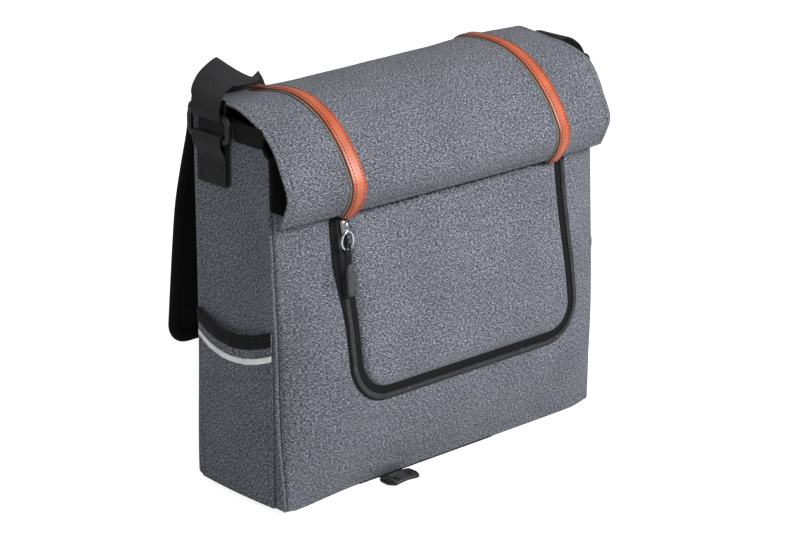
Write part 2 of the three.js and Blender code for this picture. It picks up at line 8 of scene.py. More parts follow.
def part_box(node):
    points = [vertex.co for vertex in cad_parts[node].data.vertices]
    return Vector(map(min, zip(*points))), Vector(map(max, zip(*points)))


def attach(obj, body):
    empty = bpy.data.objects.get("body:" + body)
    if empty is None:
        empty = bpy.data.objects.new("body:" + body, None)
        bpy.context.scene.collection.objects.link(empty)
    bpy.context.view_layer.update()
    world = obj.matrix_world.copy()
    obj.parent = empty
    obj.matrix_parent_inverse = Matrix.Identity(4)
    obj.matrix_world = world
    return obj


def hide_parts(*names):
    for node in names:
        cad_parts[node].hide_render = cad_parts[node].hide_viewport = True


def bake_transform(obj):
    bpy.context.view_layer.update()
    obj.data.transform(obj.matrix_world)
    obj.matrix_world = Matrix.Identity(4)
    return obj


# A messenger bag in grey melange canvas. All shapes are worked out in millimetres in the frame of
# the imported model: +Z up, the front faces -Y, the left side is -X. They turn to metres in Mesh.make.

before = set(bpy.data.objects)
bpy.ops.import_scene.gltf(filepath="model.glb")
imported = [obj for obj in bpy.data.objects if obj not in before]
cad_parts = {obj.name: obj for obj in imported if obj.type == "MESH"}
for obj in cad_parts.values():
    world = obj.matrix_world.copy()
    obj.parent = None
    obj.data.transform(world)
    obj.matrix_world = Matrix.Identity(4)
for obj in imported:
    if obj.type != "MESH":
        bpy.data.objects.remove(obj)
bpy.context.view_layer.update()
MM = 0.001
FORWARD = (0, -1.0, 0)
BACKWARD = (0, 1.0, 0)
SIDES = ((-1, "left"), (1, "right"))

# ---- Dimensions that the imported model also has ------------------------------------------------

HALF_W = 190.0
HALF_D = 53.5
FRONT_TOP = 312.0
SIDE_TOP = 336.0
BACK_TOP = 331.5
BULGE = ([0, 10, 25, 60, 105, 147, 192, 218, 250, 300, 340], [1, 5, 13, 24, 29, 24.5, 15.5, 10.5, 6, 2, 0])

POCKET_X = 7.0
POCKET_HALF = 124.0
POCKET_LOW = 100.0
POCKET_CORNER = 27.0
POCKET_TOP = 251.5
POCKET_RAISE = 5.0
ZIP_MIDDLE = 9.35
WINDOW_GROW = 10.6  # how far outside the lid's edge the wall is cut, under the zip's tape

FLAP_MIDDLE = [
    (57, 334), (54.5, 343), (45, 350), (26, 353.5), (8, 353.5), (-12, 349.5), (-32, 340.5),
    (-50, 327.5), (-66, 311.5), (-77, 297), (-83, 283), (-80, 269), (-71, 257),
]
FLAP_LEFT_END = [
    (57, 334), (54.5, 340.5), (45, 342.5), (26, 345.5), (8, 348.5), (-8, 348), (-26, 342),
    (-42, 334), (-56, 321), (-66, 303), (-74, 283), (-69, 267), (-62, 255.5),
]
FLAP_RIGHT_END = [
    (57, 334), (54.5, 341.5), (46, 347), (27, 346), (4, 343.5), (-14, 342), (-31, 338),
    (-45, 332), (-55, 321), (-64, 304), (-73, 283), (-68, 267), (-62, 255.5),
]
CREST_SAG = 9.0
CREST_LEVEL_X = 155.0
CREST_SINK_WIDTH = 230.0
SAG_SHARES = (0, 0.35, 1, 1, 0.8, 0.5, 0.2, 0, 0, 0, 0, 0, 0)
STRIP_X = 121.0
STRIP_WIDTH = 14.0

WEBBING = 38.0
WEB_THICK = 1.5
RING_Y = 22.0
RING_Z = {"left": 327.0, "right": 319.0}
RING_SIZE = (51.0, 20.0)
RING_BAR = 2.6
RING_X = HALF_W + 4.6
ANCHOR_LOW = 277.0

SIDE_POCKET_TOP = 156.0
SIDE_POCKET_HALF = 47.0
SIDE_POCKET_FRONT = 50.6  # its front edge lies in the corner's seam
BINDING_HEIGHT = 12.5
STRIPE_DROP = 8.5
STRIPE_HEIGHT = 5.0
OVER_CLOTH = 1.35  # where the binding and the stripe begin, out from the pocket's inner face

REAR_HALF = 189.0
REAR_LOW = 110.0
REAR_CORNER = 22.0
REAR_PROFILE = [(57.8, 331), (61, 314), (71, 280), (80, 245), (86, 205), (91, 165), (97.5, REAR_LOW)]

# Webbing routes: a place and the direction across the band there.
LEFT_END = [
    ((-198.8, 22, 343.5), (0, 1, 0)), ((-194.5, 23, 354), (0, 1, 0.05)),
    ((-184.5, 27, 361), (-0.05, 0.98, 0.15)), ((-170, 32, 364), (-0.2, 0.9, 0.35)),
    ((-155, 38, 364.5), (-0.42, 0.72, 0.5)),
    ((-144, 47, 360), (-0.66, 0.52, 0.45)), ((-135, 58.5, 350), (-0.87, 0.33, 0.25)),
    ((-125, 65, 341), (-0.98, 0.1, 0.03)), ((-116, 66, 332), (-1, 0, 0)), ((-116, 63.8, 323.5), (-1, 0, 0)),
]
RIGHT_END = [
    ((198.8, 22, 334.5), (0, 1, 0)), ((204, 22, 339.5), (0, 1, 0)), ((213, 21, 339.5), (0, 1, 0)),
    ((225, 21, 332.5), (0, 1, 0)), ((235, 24, 320), (-0.05, 1, 0)), ((239, 33, 306), (-0.2, 0.95, 0.2)),
    ((233, 49, 293), (-0.5, 0.7, 0.5)), ((218, 66, 282), (-0.7, 0.4, 0.6)),
    ((201, 77.5, 271), (-0.75, 0.1, 0.65)), ((189, 80.6, 262), (-0.77, -0.16, 0.64)),
    ((184.6, 81.2, 257), (-0.77, -0.16, 0.64)),
]
LOOP_ROUTE = [
    (-116, 322), (-116, 298), (-116, 274), (-112, 248), (-102, 221), (-84, 195), (-56, 172),
    (-20, 158), (20, 154), (60, 159), (98, 174), (131, 197), (157, 224), (176, 247), (184, 256.5),
]
LOOP_LIFT = 3.4

# Stitches: the distance from one to the next, the length of the thread and its radius.
SEAM_STITCH = (3.4, 2.5, 0.26)
HEM_STITCH = (3.4, 2.5, 0.24)
ZIP_STITCH = (2.8, 2.0, 0.24)
STRIP_STITCH = (3.0, 2.1, 0.52)
POCKET_STITCH = (3.0, 2.2, 0.24)
BOX_STITCH = (3.0, 2.2, 0.32)
FOLD_STITCH = (3.0, 2.2, 0.28)
TAB_STITCH = (2.8, 2.0, 0.22)

# ---- Curves and surfaces ----------------------------------------------------------------------


def spline(keys, places):
    """Centripetal Catmull-Rom through keys, at places from 0 to 1 that share its spans evenly."""
    keys = np.asarray(keys, float)
    p = np.vstack([2 * keys[0] - keys[1], keys, 2 * keys[-1] - keys[-2]])
    spans = len(keys) - 1
    out = []
    for place in places:
        i = min(int(place * spans), spans - 1)
        w = place * spans - i
        a, b, c, d = p[i : i + 4]
        gaps = [np.linalg.norm(v - u) ** 0.5 for u, v in ((a, b), (b, c), (c, d))]
        middle = gaps[1] if gaps[1] > 1e-4 else 1.0
        before = gaps[0] if gaps[0] > 1e-4 else middle
        after = gaps[2] if gaps[2] > 1e-4 else middle
        leave = ((b - a) / before - (c - a) / (before + middle) + (c - b) / middle) * middle
        reach = ((c - b) / middle - (d - b) / (middle + after) + (d - c) / after) * middle
        square = (-3 * b + 3 * c - 2 * leave - reach) * w**2
        out.append(b + leave * w + square + (2 * b - 2 * c + leave + reach) * w**3)
    return np.array(out)


def lengths_along(points):
    """The length of a line of points from its start to each of them."""
    return np.concatenate([[0], np.cumsum(np.linalg.norm(np.diff(points, axis=0), axis=1))])


def evenly(points, count):
    """count + 1 points at even distances along a line of points."""
    points = np.asarray(points, float)
    along = lengths_along(points)
    at = np.linspace(0, along[-1], count + 1)
    return np.stack([np.interp(at, along, points[:, k]) for k in range(points.shape[1])], axis=1)


def smooth_line(keys, samples, count):
    """count + 1 points at even distances along the spline through keys."""
    return evenly(spline(keys, np.linspace(0, 1, samples)), count)


def alike(direction, count):
    """The same direction for each of count places."""
    return np.tile(direction, (count, 1))


def with_first(grid):
    """A grid with its first column repeated after its last one, to close it round."""
    return np.hstack([grid, grid[:, :1]])


def rise(value, over):
    """From 0 to 1 as a value goes from 0 to over, and held there outside that."""
    return np.clip(value / over, 0, 1)


def dent(a, a_size, b, b_size):
    """1 where a and b are 0, dying away over their sizes."""
    return np.exp(-((a / a_size) ** 2) - (b / b_size) ** 2)


def xyz(x, y, z):
    """Points from their coordinates, each an array or one number for all."""
    return np.stack(np.broadcast_arrays(x, y, z), axis=-1)


def unit(v):
    """Vectors brought to a length of 1."""
    v = np.asarray(v, float)
    return v / np.maximum(np.linalg.norm(v, axis=-1, keepdims=True), 1e-9)


def cubic_table(heights, values, top):
    """The front's depth by whole millimetres of height, on the cubic that the model uses."""
    out = []
    for z in range(top + 1):
        i = min(max(int(np.searchsorted(heights, z, side="right")), 1), len(heights) - 1)
        t0, t1 = heights[i - 1], heights[i]
        before = i - 2 if i >= 2 else i
        after = i + 1 if i + 1 < len(heights) else i - 1
        weight_before = (t1 - t0) / 2 / (t0 - heights[before])
        weight_after = (t1 - t0) / 2 / (heights[after] - t1)
        p = (z - t0) / (t1 - t0)
        shares = (
            -weight_before * p**3 + 2 * weight_before * p**2 - weight_before * p,
            (1 + weight_before) * p**3 + (-1.5 - 2 * weight_before) * p**2 + (-0.5 + weight_before) * p + 1,
            (-1 - weight_after) * p**3 + (1.5 + weight_after) * p**2 + 0.5 * p,
            weight_after * p**3 - weight_after * p**2,
        )
        out.append(sum(s * values[k] for s, k in zip(shares, (before, i - 1, i, after))))
    return np.array(out)


BULGE_TABLE = cubic_table(*BULGE, 340)


def bulge(z):
    """How far the middle of the front stands forward at a height."""
    return np.interp(z, np.arange(len(BULGE_TABLE)), BULGE_TABLE)


def front_y(x, z):
    """The front of the stuffed bag: its bulge by height, flattened out at both edges."""
    flatness = 1 - np.minimum(np.abs(x) / HALF_W, 1) ** 8
    return -HALF_D - bulge(z) * flatness


def waves(points, size, seed):
    """Smooth noise from -1 to 1 at points, with features of that size."""
    flat = np.asarray(points, float).reshape(-1, 3) / size + seed
    values = np.array([noise.noise(Vector(p)) for p in flat])
    return values.reshape(np.shape(points)[:-1])


def pocket_distance(x, z):
    """How far a place lies inside the zipped pocket's edge; less than 0 outside it."""
    across = np.abs(x - POCKET_X)
    inner = POCKET_HALF - POCKET_CORNER
    qx, qz = across - inner, POCKET_LOW + POCKET_CORNER - z
    at_corner = POCKET_CORNER - np.hypot(np.maximum(qx, 0), np.maximum(qz, 0))
    at_side = np.minimum(POCKET_HALF - across, z - POCKET_LOW)
    return np.where((qx > 0) & (qz > 0), at_corner, at_side)


def front_relief(x, z):
    """The small hollows and swells of the stuffed front, outwards."""
    place = xyz(x, 0.0, z)
    edge = rise(HALF_W - np.abs(x), 30) * rise(z, 40)
    swell = 1.8 * waves(place, 75, 3.1) + 0.9 * waves(place, 30, 8.4)
    dimple = -5.5 * dent((x + 143) - 0.33 * (z - 200), 5.0, z - 200, 14)
    pull = -2.6 * dent((z - 240) + 0.3 * (x + 160), 4.5, x + 160, 16)
    over_buckle = 2.6 * dent((z - 15) + 0.10 * (x + 80), 6, x + 80, 34)
    under_it = -2.0 * dent((z - 27) + 0.12 * (x + 90), 5, x + 90, 30)
    return swell * edge + dimple + pull + over_buckle + under_it


def front_place(x, z, off=0.0):
    """A point on the bag's front, or a little in front of it."""
    x, z = np.broadcast_arrays(np.asarray(x, float), np.asarray(z, float))
    calm = rise(-pocket_distance(x, z) - 14, 12)
    y = front_y(x, z) - front_relief(x, z) * np.where(z > POCKET_TOP, 0, calm)
    return xyz(x, y - off, z)


def pocket_outline(grow, steps=240):
    """The pocket's outline grown outwards, at even distances: left leg, base, right leg."""
    half, radius, low = POCKET_HALF + grow, POCKET_CORNER + grow, POCKET_LOW - grow
    angles = np.linspace(0, math.pi / 2, 16)
    points = [(POCKET_X - half, POCKET_TOP)]
    left, right, level = POCKET_X - half + radius, POCKET_X + half - radius, low + radius
    points += [(left - radius * math.cos(a), level - radius * math.sin(a)) for a in angles]
    points += [(right + radius * math.sin(a), level - radius * math.cos(a)) for a in angles]
    points.append((POCKET_X + half, POCKET_TOP))
    return evenly(points, steps)


# ---- Meshes -----------------------------------------------------------------------------------


RIM_ROUND = 0.35  # how far a slab's rim stands out, as a share of its thickness
THREAD_SHAPE = ((0, -0.5, 0.5), (0.2, 0.3, 0.95), (0.8, 0.3, 0.95), (1, -0.5, 0.5))  # share, lift, size


class Mesh:
    """Collects points, faces with UVs in metres and material slots, and makes one object."""

    def __init__(self):
        self.points = []
        self.faces = []
        self.uvs = []
        self.slots = []

    def add(self, points):
        """Adds points and returns their numbers, arranged as the points are."""
        first = len(self.points)
        self.points.extend(np.asarray(points, float).reshape(-1, 3))
        return first + np.arange(np.asarray(points).size // 3).reshape(np.shape(points)[:-1])

    def face(self, corners, uvs, slot=0):
        """One face from its corners' numbers, anticlockwise as seen from outside."""
        self.faces.append([int(c) for c in corners])
        self.uvs.extend(uvs)
        self.slots.append(slot)

    def quads(self, index, uv, slot=0, keep=None, reverse=False):
        """Faces between the places of a grid of point numbers."""
        for i in range(index.shape[0] - 1):
            for j in range(index.shape[1] - 1):
                if keep is not None and not keep[i, j]:
                    continue
                around = [(i, j), (i, j + 1), (i + 1, j + 1), (i + 1, j)]
                if reverse:
                    around.reverse()
                chosen = slot[i, j] if isinstance(slot, np.ndarray) else slot
                self.face([index[a] for a in around], [uv[a] for a in around], chosen)

    def grid(self, points, slot=0, wrap=False, keep=None, uv=None):
        """One open sheet. Columns run across and rows run up, seen from its outside."""
        index = self.add(points)
        if wrap:
            index, points = with_first(index), with_first(points)
        self.quads(index, grid_uv(points) if uv is None else uv, slot, keep)
        return index

    def slab(self, outer, inner, slots=(0, 0, 0)):
        """A closed piece between an outer and an inner grid, with a rounded rim."""
        uv = grid_uv(outer)
        out, back = self.add(outer), self.add(inner)
        self.quads(out, uv, slots[0])
        self.quads(back, uv, slots[1], reverse=True)
        rows, columns = outer.shape[:2]
        edge = [(0, j) for j in range(columns)] + [(i, columns - 1) for i in range(1, rows)]
        edge += [(rows - 1, j) for j in range(columns - 2, -1, -1)] + [(i, 0) for i in range(rows - 2, 0, -1)]
        middles = []
        for i, j in edge:
            towards = np.zeros(3)
            if i in (0, rows - 1):
                towards += unit(outer[i, j] - outer[1 if i == 0 else rows - 2, j])
            if j in (0, columns - 1):
                towards += unit(outer[i, j] - outer[i, 1 if j == 0 else columns - 2])
            thick = np.linalg.norm(outer[i, j] - inner[i, j])
            middles.append((outer[i, j] + inner[i, j]) / 2 + unit(towards) * thick * RIM_ROUND)
        rim = self.add(np.array(middles))
        for k, place in enumerate(edge):
            after = edge[(k + 1) % len(edge)]
            nxt = (k + 1) % len(edge)
            around = [uv[place], uv[after], uv[after], uv[place]]
            self.face([out[after], out[place], rim[k], rim[nxt]], around, slots[2])
            self.face([rim[nxt], rim[k], back[place], back[after]], around, slots[2])
        return self

    def tube(self, path, radii, sides=8, closed=False, square=(0, 0, 1), slot=0):
        """A round bar along a path, of one radius or of one for each place."""
        path = np.asarray(path, float)
        count = len(path)
        if closed:
            along = unit(np.roll(path, -1, axis=0) - np.roll(path, 1, axis=0))
        else:
            along = unit(np.gradient(path, axis=0))
        first = unit(np.cross(along, np.asarray(square, float)))
        second = unit(np.cross(first, along))
        turn = np.linspace(0, 2 * math.pi, sides, endpoint=False)
        radii = np.broadcast_to(np.reshape(radii, (-1, 1)) if np.ndim(radii) == 1 else radii, (count, 1))
        rings = path[:, None] + radii[..., None] * (
            np.cos(turn)[None, :, None] * first[:, None] + np.sin(turn)[None, :, None] * second[:, None]
        )
        index = self.add(rings)
        far = lengths_along(path) * MM
        size = 2 * math.pi * float(np.mean(radii)) * MM
        spans = count if closed else count - 1
        for i in range(spans):
            here, there = i, (i + 1) % count
            for j in range(sides):
                k = (j + 1) % sides
                u0, u1 = j / sides * size, (j + 1) / sides * size
                v0 = far[here]
                v1 = far[there] if there else far[here] + far[1]
                corners = [index[here, j], index[here, k], index[there, k], index[there, j]]
                self.face(corners, [(u0, v0), (u1, v0), (u1, v1), (u0, v1)], slot)
        if not closed:
            self.face(index[0, ::-1], [(0, 0)] * sides, slot)
            self.face(index[-1], [(0, 0)] * sides, slot)
        return self

    def stitches(self, path, normals, pitch, length, radius, slot=0):
        """Raised threads one after the other along a path that lies on a surface."""
        path, normals = np.asarray(path, float), np.asarray(normals, float)
        along = lengths_along(path)
        both = np.hstack([path, normals])

        def at(s):
            found = np.array([np.interp(s, along, both[:, k]) for k in range(6)])
            return found[:3], unit(found[3:])

        for k in range(int(along[-1] / pitch)):
            start = k * pitch + (pitch - length) / 2
            bar, wide = [], []
            for share, lift, size in THREAD_SHAPE:
                place, up = at(start + share * length)
                bar.append(place + up * radius * lift)
                wide.append(radius * size)
            self.tube(bar, wide, sides=5, square=at(start)[1], slot=slot)
        return self

    def make(self, name, looks, body=None, slot=None, replaces=()):
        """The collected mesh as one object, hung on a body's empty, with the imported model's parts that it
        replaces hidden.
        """
        data = bpy.data.meshes.new(name)
        data.from_pydata([tuple(p * MM) for p in self.points], [], self.faces)
        layer = data.uv_layers.new(name="UVMap")
        layer.data.foreach_set("uv", np.array(self.uvs, np.float32).ravel())
        for look in looks:
            data.materials.append(look)
        data.polygons.foreach_set("material_index", np.array(self.slots, np.int32))
        data.polygons.foreach_set("use_smooth", np.full(len(self.faces), True))
        data.update()
        obj = bpy.data.objects.new(name, data)
        bpy.context.scene.collection.objects.link(obj)
        if body:
            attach(obj, body)
        if replaces:
            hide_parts(*replaces)
        return obj


def grid_uv(points):
    """Places on the cloth in metres: distances along the middle row and along each column."""
    across = lengths_along(points[len(points) // 2]) * MM
    steps = np.linalg.norm(np.diff(points, axis=0), axis=2).mean(axis=1)
    up = np.concatenate([[0], np.cumsum(steps)]) * MM
    return np.stack(np.meshgrid(across, up), axis=-1)


def apply_modifiers(obj):
    """Keeps the mesh as its modifiers leave it."""
    graph = bpy.context.evaluated_depsgraph_get()
    final = bpy.data.meshes.new_from_object(obj.evaluated_get(graph))
    obj.modifiers.clear()
    obj.data = final


def band_frame(path, sides):
    """Directions across a band and away from its face, square to its path."""
    along = unit(np.gradient(path, axis=0))
    side = unit(sides - along * np.sum(sides * along, axis=1, keepdims=True))
    return side, np.cross(along, side)


RIB_HEIGHT = 0.2


def webbing(path, sides, width=WEBBING, thick=WEB_THICK, ribs=17):
    """A woven strap with lengthwise ribs on both faces."""
    side, normal = band_frame(path, sides)
    across = np.linspace(-1, 1, ribs * 4 + 1)
    rib = RIB_HEIGHT * (np.abs(np.sin(np.pi * ribs * (across + 1) / 2)) - 1)
    selvedge = -0.35 * rise(np.abs(across) - 0.96, 0.04)
    level = thick / 2 + rib + selvedge
    flat = path[:, None] + side[:, None] * (across * width / 2)[None, :, None]
    lift = normal[:, None] * level[None, :, None]
    return flat + lift, flat - lift


# ---- Materials --------------------------------------------------------------------------------


class Look:
    """One procedural material on a Principled shader."""

    def __init__(self, name, **sockets):
        self.material = bpy.data.materials.new(name)
        self.material.use_nodes = True
        self.tree = self.material.node_tree
        self.shader = self.tree.nodes["Principled BSDF"]
        for socket, value in sockets.items():
            self.shader.inputs[socket.replace("_", " ").title().replace("Ior", "IOR")].default_value = value

    def node(self, kind, *inputs, **settings):
        """A shader node with its first inputs linked or set."""
        made = self.tree.nodes.new("ShaderNode" + kind)
        for key, value in settings.items():
            setattr(made, key, value)
        for i, value in enumerate(inputs):
            if value is None:
                continue
            if isinstance(value, bpy.types.NodeSocket):
                self.tree.links.new(value, made.inputs[i])
            else:
                made.inputs[i].default_value = value
        return made

    def cloth(self, across, up):
        """Places on the cloth, in threads or features of that many metres."""
        uv = self.node("UVMap").outputs[0]
        return self.node("VectorMath", uv, (1 / across, 1 / up, 1), operation="MULTIPLY").outputs[0]

    def solid(self, size):
        """Places in the object, in features of that many metres."""
        place = self.node("TexCoord").outputs["Object"]
        return self.node("VectorMath", place, (1 / size,) * 3, operation="MULTIPLY").outputs[0]

    def noise(self, vector, detail=2.0, roughness=0.5):
        made = self.node("TexNoise")
        self.tree.links.new(vector, made.inputs["Vector"])
        made.inputs["Scale"].default_value = 1.0
        made.inputs["Detail"].default_value = detail
        made.inputs["Roughness"].default_value = roughness
        return made.outputs["Fac"]

    def math(self, operation, *values):
        return self.node("Math", *values, operation=operation).outputs[0]

    def part(self, vector, axis):
        return self.node("SeparateXYZ", vector).outputs[axis]

    def wave(self, vector, axis):
        """A smooth wave from 0 to 1, one for each unit along an axis."""
        return self.swing(self.math("MULTIPLY", self.part(vector, axis), 2 * math.pi))

    def swing(self, turn):
        """The sine of a turn in radians, brought to between 0 and 1."""
        return self.math("MULTIPLY_ADD", self.math("SINE", turn), 0.5, 0.5)

    def mix(self, share, a, b):
        made = self.node("Mix", data_type="FLOAT")
        for socket, value in zip(("Factor", "A", "B"), (share, a, b)):
            self.put(made.inputs[socket], value)
        return made.outputs[0]

    def times(self, a, b):
        """One colour multiplied by another."""
        made = self.node("Mix", data_type="RGBA", blend_type="MULTIPLY")
        for index, value in zip((0, 6, 7), (1.0, a, b)):
            self.put(made.inputs[index], value)
        return made.outputs[2]

    def put(self, socket, value):
        """Links an output to an input socket, or gives the socket a value."""
        if isinstance(value, bpy.types.NodeSocket):
            self.tree.links.new(value, socket)
        else:
            socket.default_value = value

    def ramp(self, share, *stops):
        """A colour ramp; each stop is a place and a colour."""
        made = self.node("ValToRGB", share)
        elements = made.color_ramp.elements
        while len(elements) < len(stops):
            elements.new(0.5)
        for element, (at, color) in zip(elements, stops):
            element.position = at
            element.color = (*color, 1)
        return made.outputs[0]

    def color(self, value):
        self.put(self.shader.inputs["Base Color"], value)

    def rough(self, share, span, base):
        """Roughness that rises from base by span with a share."""
        self.put(self.shader.inputs["Roughness"], self.math("MULTIPLY_ADD", share, span, base))

    def bump(self, height, distance, strength, under=None):
        """Relief of that many metres, over another bump if there is one under it."""
        made = self.node("Bump")
        made.inputs["Strength"].default_value = strength
        made.inputs["Distance"].default_value = distance
        self.tree.links.new(height, made.inputs["Height"])
        if under is not None:
            self.tree.links.new(under, made.inputs["Normal"])
        self.tree.links.new(made.outputs[0], self.shader.inputs["Normal"])
        return made.outputs[0]


def shades(low, dark, high, pale, tone):
    """Two stops of a colour ramp: dark and pale are what the tone is multiplied by there."""
    return (low, tuple(dark * c for c in tone)), (high, tuple(pale * c for c in tone))


def plain_weave(look, pitch):
    """Thread height of a plain weave, from 0 to 1."""
    place = look.cloth(pitch, pitch)
    warp, weft = look.wave(place, 0), look.wave(place, 1)
    half = look.cloth(pitch * 2, pitch * 2)
    over = look.math("MULTIPLY", look.wave(half, 0), look.wave(half, 1))
    other = look.math(
        "MULTIPLY",
        look.math("SUBTRACT", 1.0, look.wave(half, 0)),
        look.math("SUBTRACT", 1.0, look.wave(half, 1)),
    )
    return look.mix(look.math("ADD", over, other), warp, weft)


def canvas_look():
    """Melange canvas: dark and light slubs in both directions of a plain weave, with painted shade in the
    weave's hollows.
    """
    sheen = {"sheen_weight": 0.06, "sheen_roughness": 0.5}
    look = Look("canvas_melange", roughness=0.92, specular_ior_level=0.2, **sheen)
    weft = look.noise(look.cloth(0.0026, 0.00070), detail=1, roughness=0.5)
    warp = look.noise(look.cloth(0.00070, 0.0022), detail=1, roughness=0.5)
    height = plain_weave(look, 0.0007)
    slub = look.mix(0.62, warp, weft)
    melange = look.ramp(
        slub,
        (0.37, (0.030, 0.033, 0.041)),
        (0.47, (0.090, 0.096, 0.116)),
        (0.53, (0.168, 0.177, 0.206)),
        (0.63, (0.400, 0.412, 0.452)),
    )
    # Painted shade: the colour darkens where the weave's threads lie low and brightens a little on their
    # tops.
    shade = look.ramp(height, (0.0, (0.62, 0.62, 0.64)), (0.6, (1.06, 1.06, 1.06)))
    color = look.times(melange, shade)
    rows = look.noise(look.cloth(0.035, 0.0011), detail=1)
    streak = look.ramp(rows, (0.3, (0.80, 0.80, 0.81)), (0.7, (1.20, 1.20, 1.20)))
    color = look.times(color, streak)
    wide = look.noise(look.solid(0.06), detail=3)
    tone = look.ramp(wide, (0.3, (0.90, 0.90, 0.91)), (0.7, (1.08, 1.08, 1.08)))
    look.color(look.times(color, tone))
    look.rough(slub, -0.12, 0.98)
    soft = look.bump(slub, 0.0004, 0.45)
    look.bump(height, 0.00022, 0.7, soft)
    return look.material


def black_cloth_look(name, tone, pitch, roughness):
    """Black plain-woven cloth, slightly fluffy, with painted shade in the weave's hollows."""
    sheen = {"sheen_weight": 0.02, "sheen_roughness": 0.4}
    look = Look(name, roughness=roughness, specular_ior_level=0.2, **sheen)
    height = plain_weave(look, pitch)
    fluff = look.noise(look.solid(0.004), detail=4)
    # The fluff is random tone; the weave's height adds painted shade in its hollows and painted light on its
    # raised threads.
    mixed = look.math("MULTIPLY_ADD", fluff, 0.6, look.math("MULTIPLY", height, 0.4))
    look.color(look.ramp(mixed, *shades(0.25, 0.55, 0.75, 1.6, tone)))
    look.rough(fluff, 0.15, roughness - 0.1)
    look.bump(height, 0.0002, 0.8)
    return look.material


RIB_PITCH = 0.002276  # over the ribs' own surface, in metres


def webbing_look():
    """Ribbed polyester webbing: each rib is a chevron of slanting threads, with a painted highlight on its
    crown and painted shade between the ribs.
    """
    sheen = {"sheen_weight": 0.02, "sheen_roughness": 0.35}
    look = Look("ribbed_webbing", roughness=0.62, specular_ior_level=0.3, **sheen)
    uv = look.cloth(0.0011, 0.0016)
    slant = look.math("ADD", look.part(uv, 0), look.part(uv, 1))
    twist = look.swing(look.math("MULTIPLY", slant, 2 * math.pi))
    dust = look.noise(look.solid(0.0025), detail=4)
    across = look.part(look.cloth(RIB_PITCH, 1.0), 0)
    # Painted highlight on each rib's crown and painted shade in the valleys between ribs.
    crown = look.swing(look.math("MULTIPLY_ADD", across, 2 * math.pi, -math.pi / 2))
    mixed = look.math("MULTIPLY_ADD", twist, 0.22, look.math("MULTIPLY", dust, 0.28))
    mixed = look.math("MULTIPLY_ADD", crown, 0.5, mixed)
    black, grey, pale = (0.002, 0.002, 0.002), (0.009, 0.009, 0.010), (0.052, 0.054, 0.060)
    look.color(look.ramp(mixed, (0.2, black), (0.55, grey), (0.85, pale)))
    look.rough(dust, 0.3, 0.48)
    look.bump(twist, 0.00018, 0.8)
    return look.material


def leather_look():
    """Smooth orange-tan leather with fine creases, burnished and darker towards both edges."""
    coat = {"coat_weight": 0.25, "coat_roughness": 0.22}
    look = Look("orange_leather", roughness=0.38, **coat, specular_ior_level=0.5)
    grain = look.node("TexVoronoi", look.solid(0.0011), feature="DISTANCE_TO_EDGE").outputs["Distance"]
    fine = look.noise(look.solid(0.0008), detail=4)
    wide = look.noise(look.solid(0.018), detail=3)
    dark, middle, pale = (0.42, 0.085, 0.036), (0.53, 0.118, 0.050), (0.62, 0.155, 0.070)
    tone = look.ramp(wide, (0.3, dark), (0.55, middle), (0.75, pale))
    across = look.part(look.cloth(STRIP_WIDTH * MM, 1.0), 0)
    out = look.math("ABSOLUTE", look.math("SUBTRACT", across, 0.5))
    edge = look.ramp(out, (0.38, (1, 1, 1)), (0.48, (0.40, 0.30, 0.28)))
    look.color(look.times(tone, edge))
    look.rough(fine, 0.22, 0.27)
    creases = look.bump(grain, 0.00012, 0.5)
    look.bump(fine, 0.00008, 0.4, creases)
    return look.material


def ribbon_look():
    """Khaki grosgrain ribbon: crosswise ribs and a few whitish threads along its edge, with painted shade
    between the ribs.
    """
    sheen = {"sheen_weight": 0.1, "sheen_roughness": 0.5}
    look = Look("khaki_ribbon", roughness=0.85, specular_ior_level=0.25, **sheen)
    ribs = look.wave(look.cloth(1.0, 0.0009), 1)
    speck = look.noise(look.cloth(0.0006, 0.0014), detail=2)
    dark, khaki, whitish = (0.10, 0.085, 0.06), (0.27, 0.225, 0.155), (0.52, 0.48, 0.40)
    color = look.ramp(speck, (0.32, dark), (0.52, khaki), (0.68, whitish))
    # Painted shade in the hollows between the crosswise ribs.
    shade = look.ramp(ribs, (0.0, (0.6, 0.6, 0.6)), (0.6, (1, 1, 1)))
    look.color(look.times(color, shade))
    look.rough(speck, 0.1, 0.8)
    look.bump(ribs, 0.0002, 0.8)
    return look.material


def plastic_look(name, tone, low, high):
    """Moulded plastic with a fine spark texture and paler scuffs; low and high limit its roughness."""
    look = Look(name, roughness=low, specular_ior_level=0.5)
    fine = look.noise(look.solid(0.0012), detail=3)
    scuff = look.noise(look.solid(0.009), detail=5, roughness=0.7)
    look.color(look.ramp(scuff, (0.35, tone), *shades(0.62, 1.5, 0.8, 3, tone)))
    look.rough(scuff, high - low, low)
    look.bump(fine, 0.0001, 0.35)
    return look.material


def chrome_look():
    """Plated zinc with soft smears of wear."""
    look = Look("bright_zinc", metallic=1.0, roughness=0.14)
    wear = look.noise(look.solid(0.004), detail=5, roughness=0.7)
    look.color(look.ramp(wear, (0.3, (0.62, 0.63, 0.65)), (0.7, (0.86, 0.87, 0.89))))
    look.rough(wear, 0.2, 0.05)
    look.bump(look.noise(look.solid(0.0012), detail=3), 0.00005, 0.25)
    return look.material


def reflector_look():
    """Silver retroreflective tape: tiny beads under a satin film."""
    look = Look("reflective_tape", roughness=0.4, metallic=0.35, specular_ior_level=0.6)
    beads = look.node("TexVoronoi", look.cloth(0.0005, 0.0005)).outputs["Distance"]
    tarnish = look.noise(look.solid(0.012), detail=4)
    look.color(look.ramp(tarnish, (0.3, (0.78, 0.79, 0.82)), (0.7, (0.97, 0.97, 0.98))))
    look.rough(beads, 0.25, 0.28)
    look.bump(beads, 0.00008, 0.5)
    return look.material


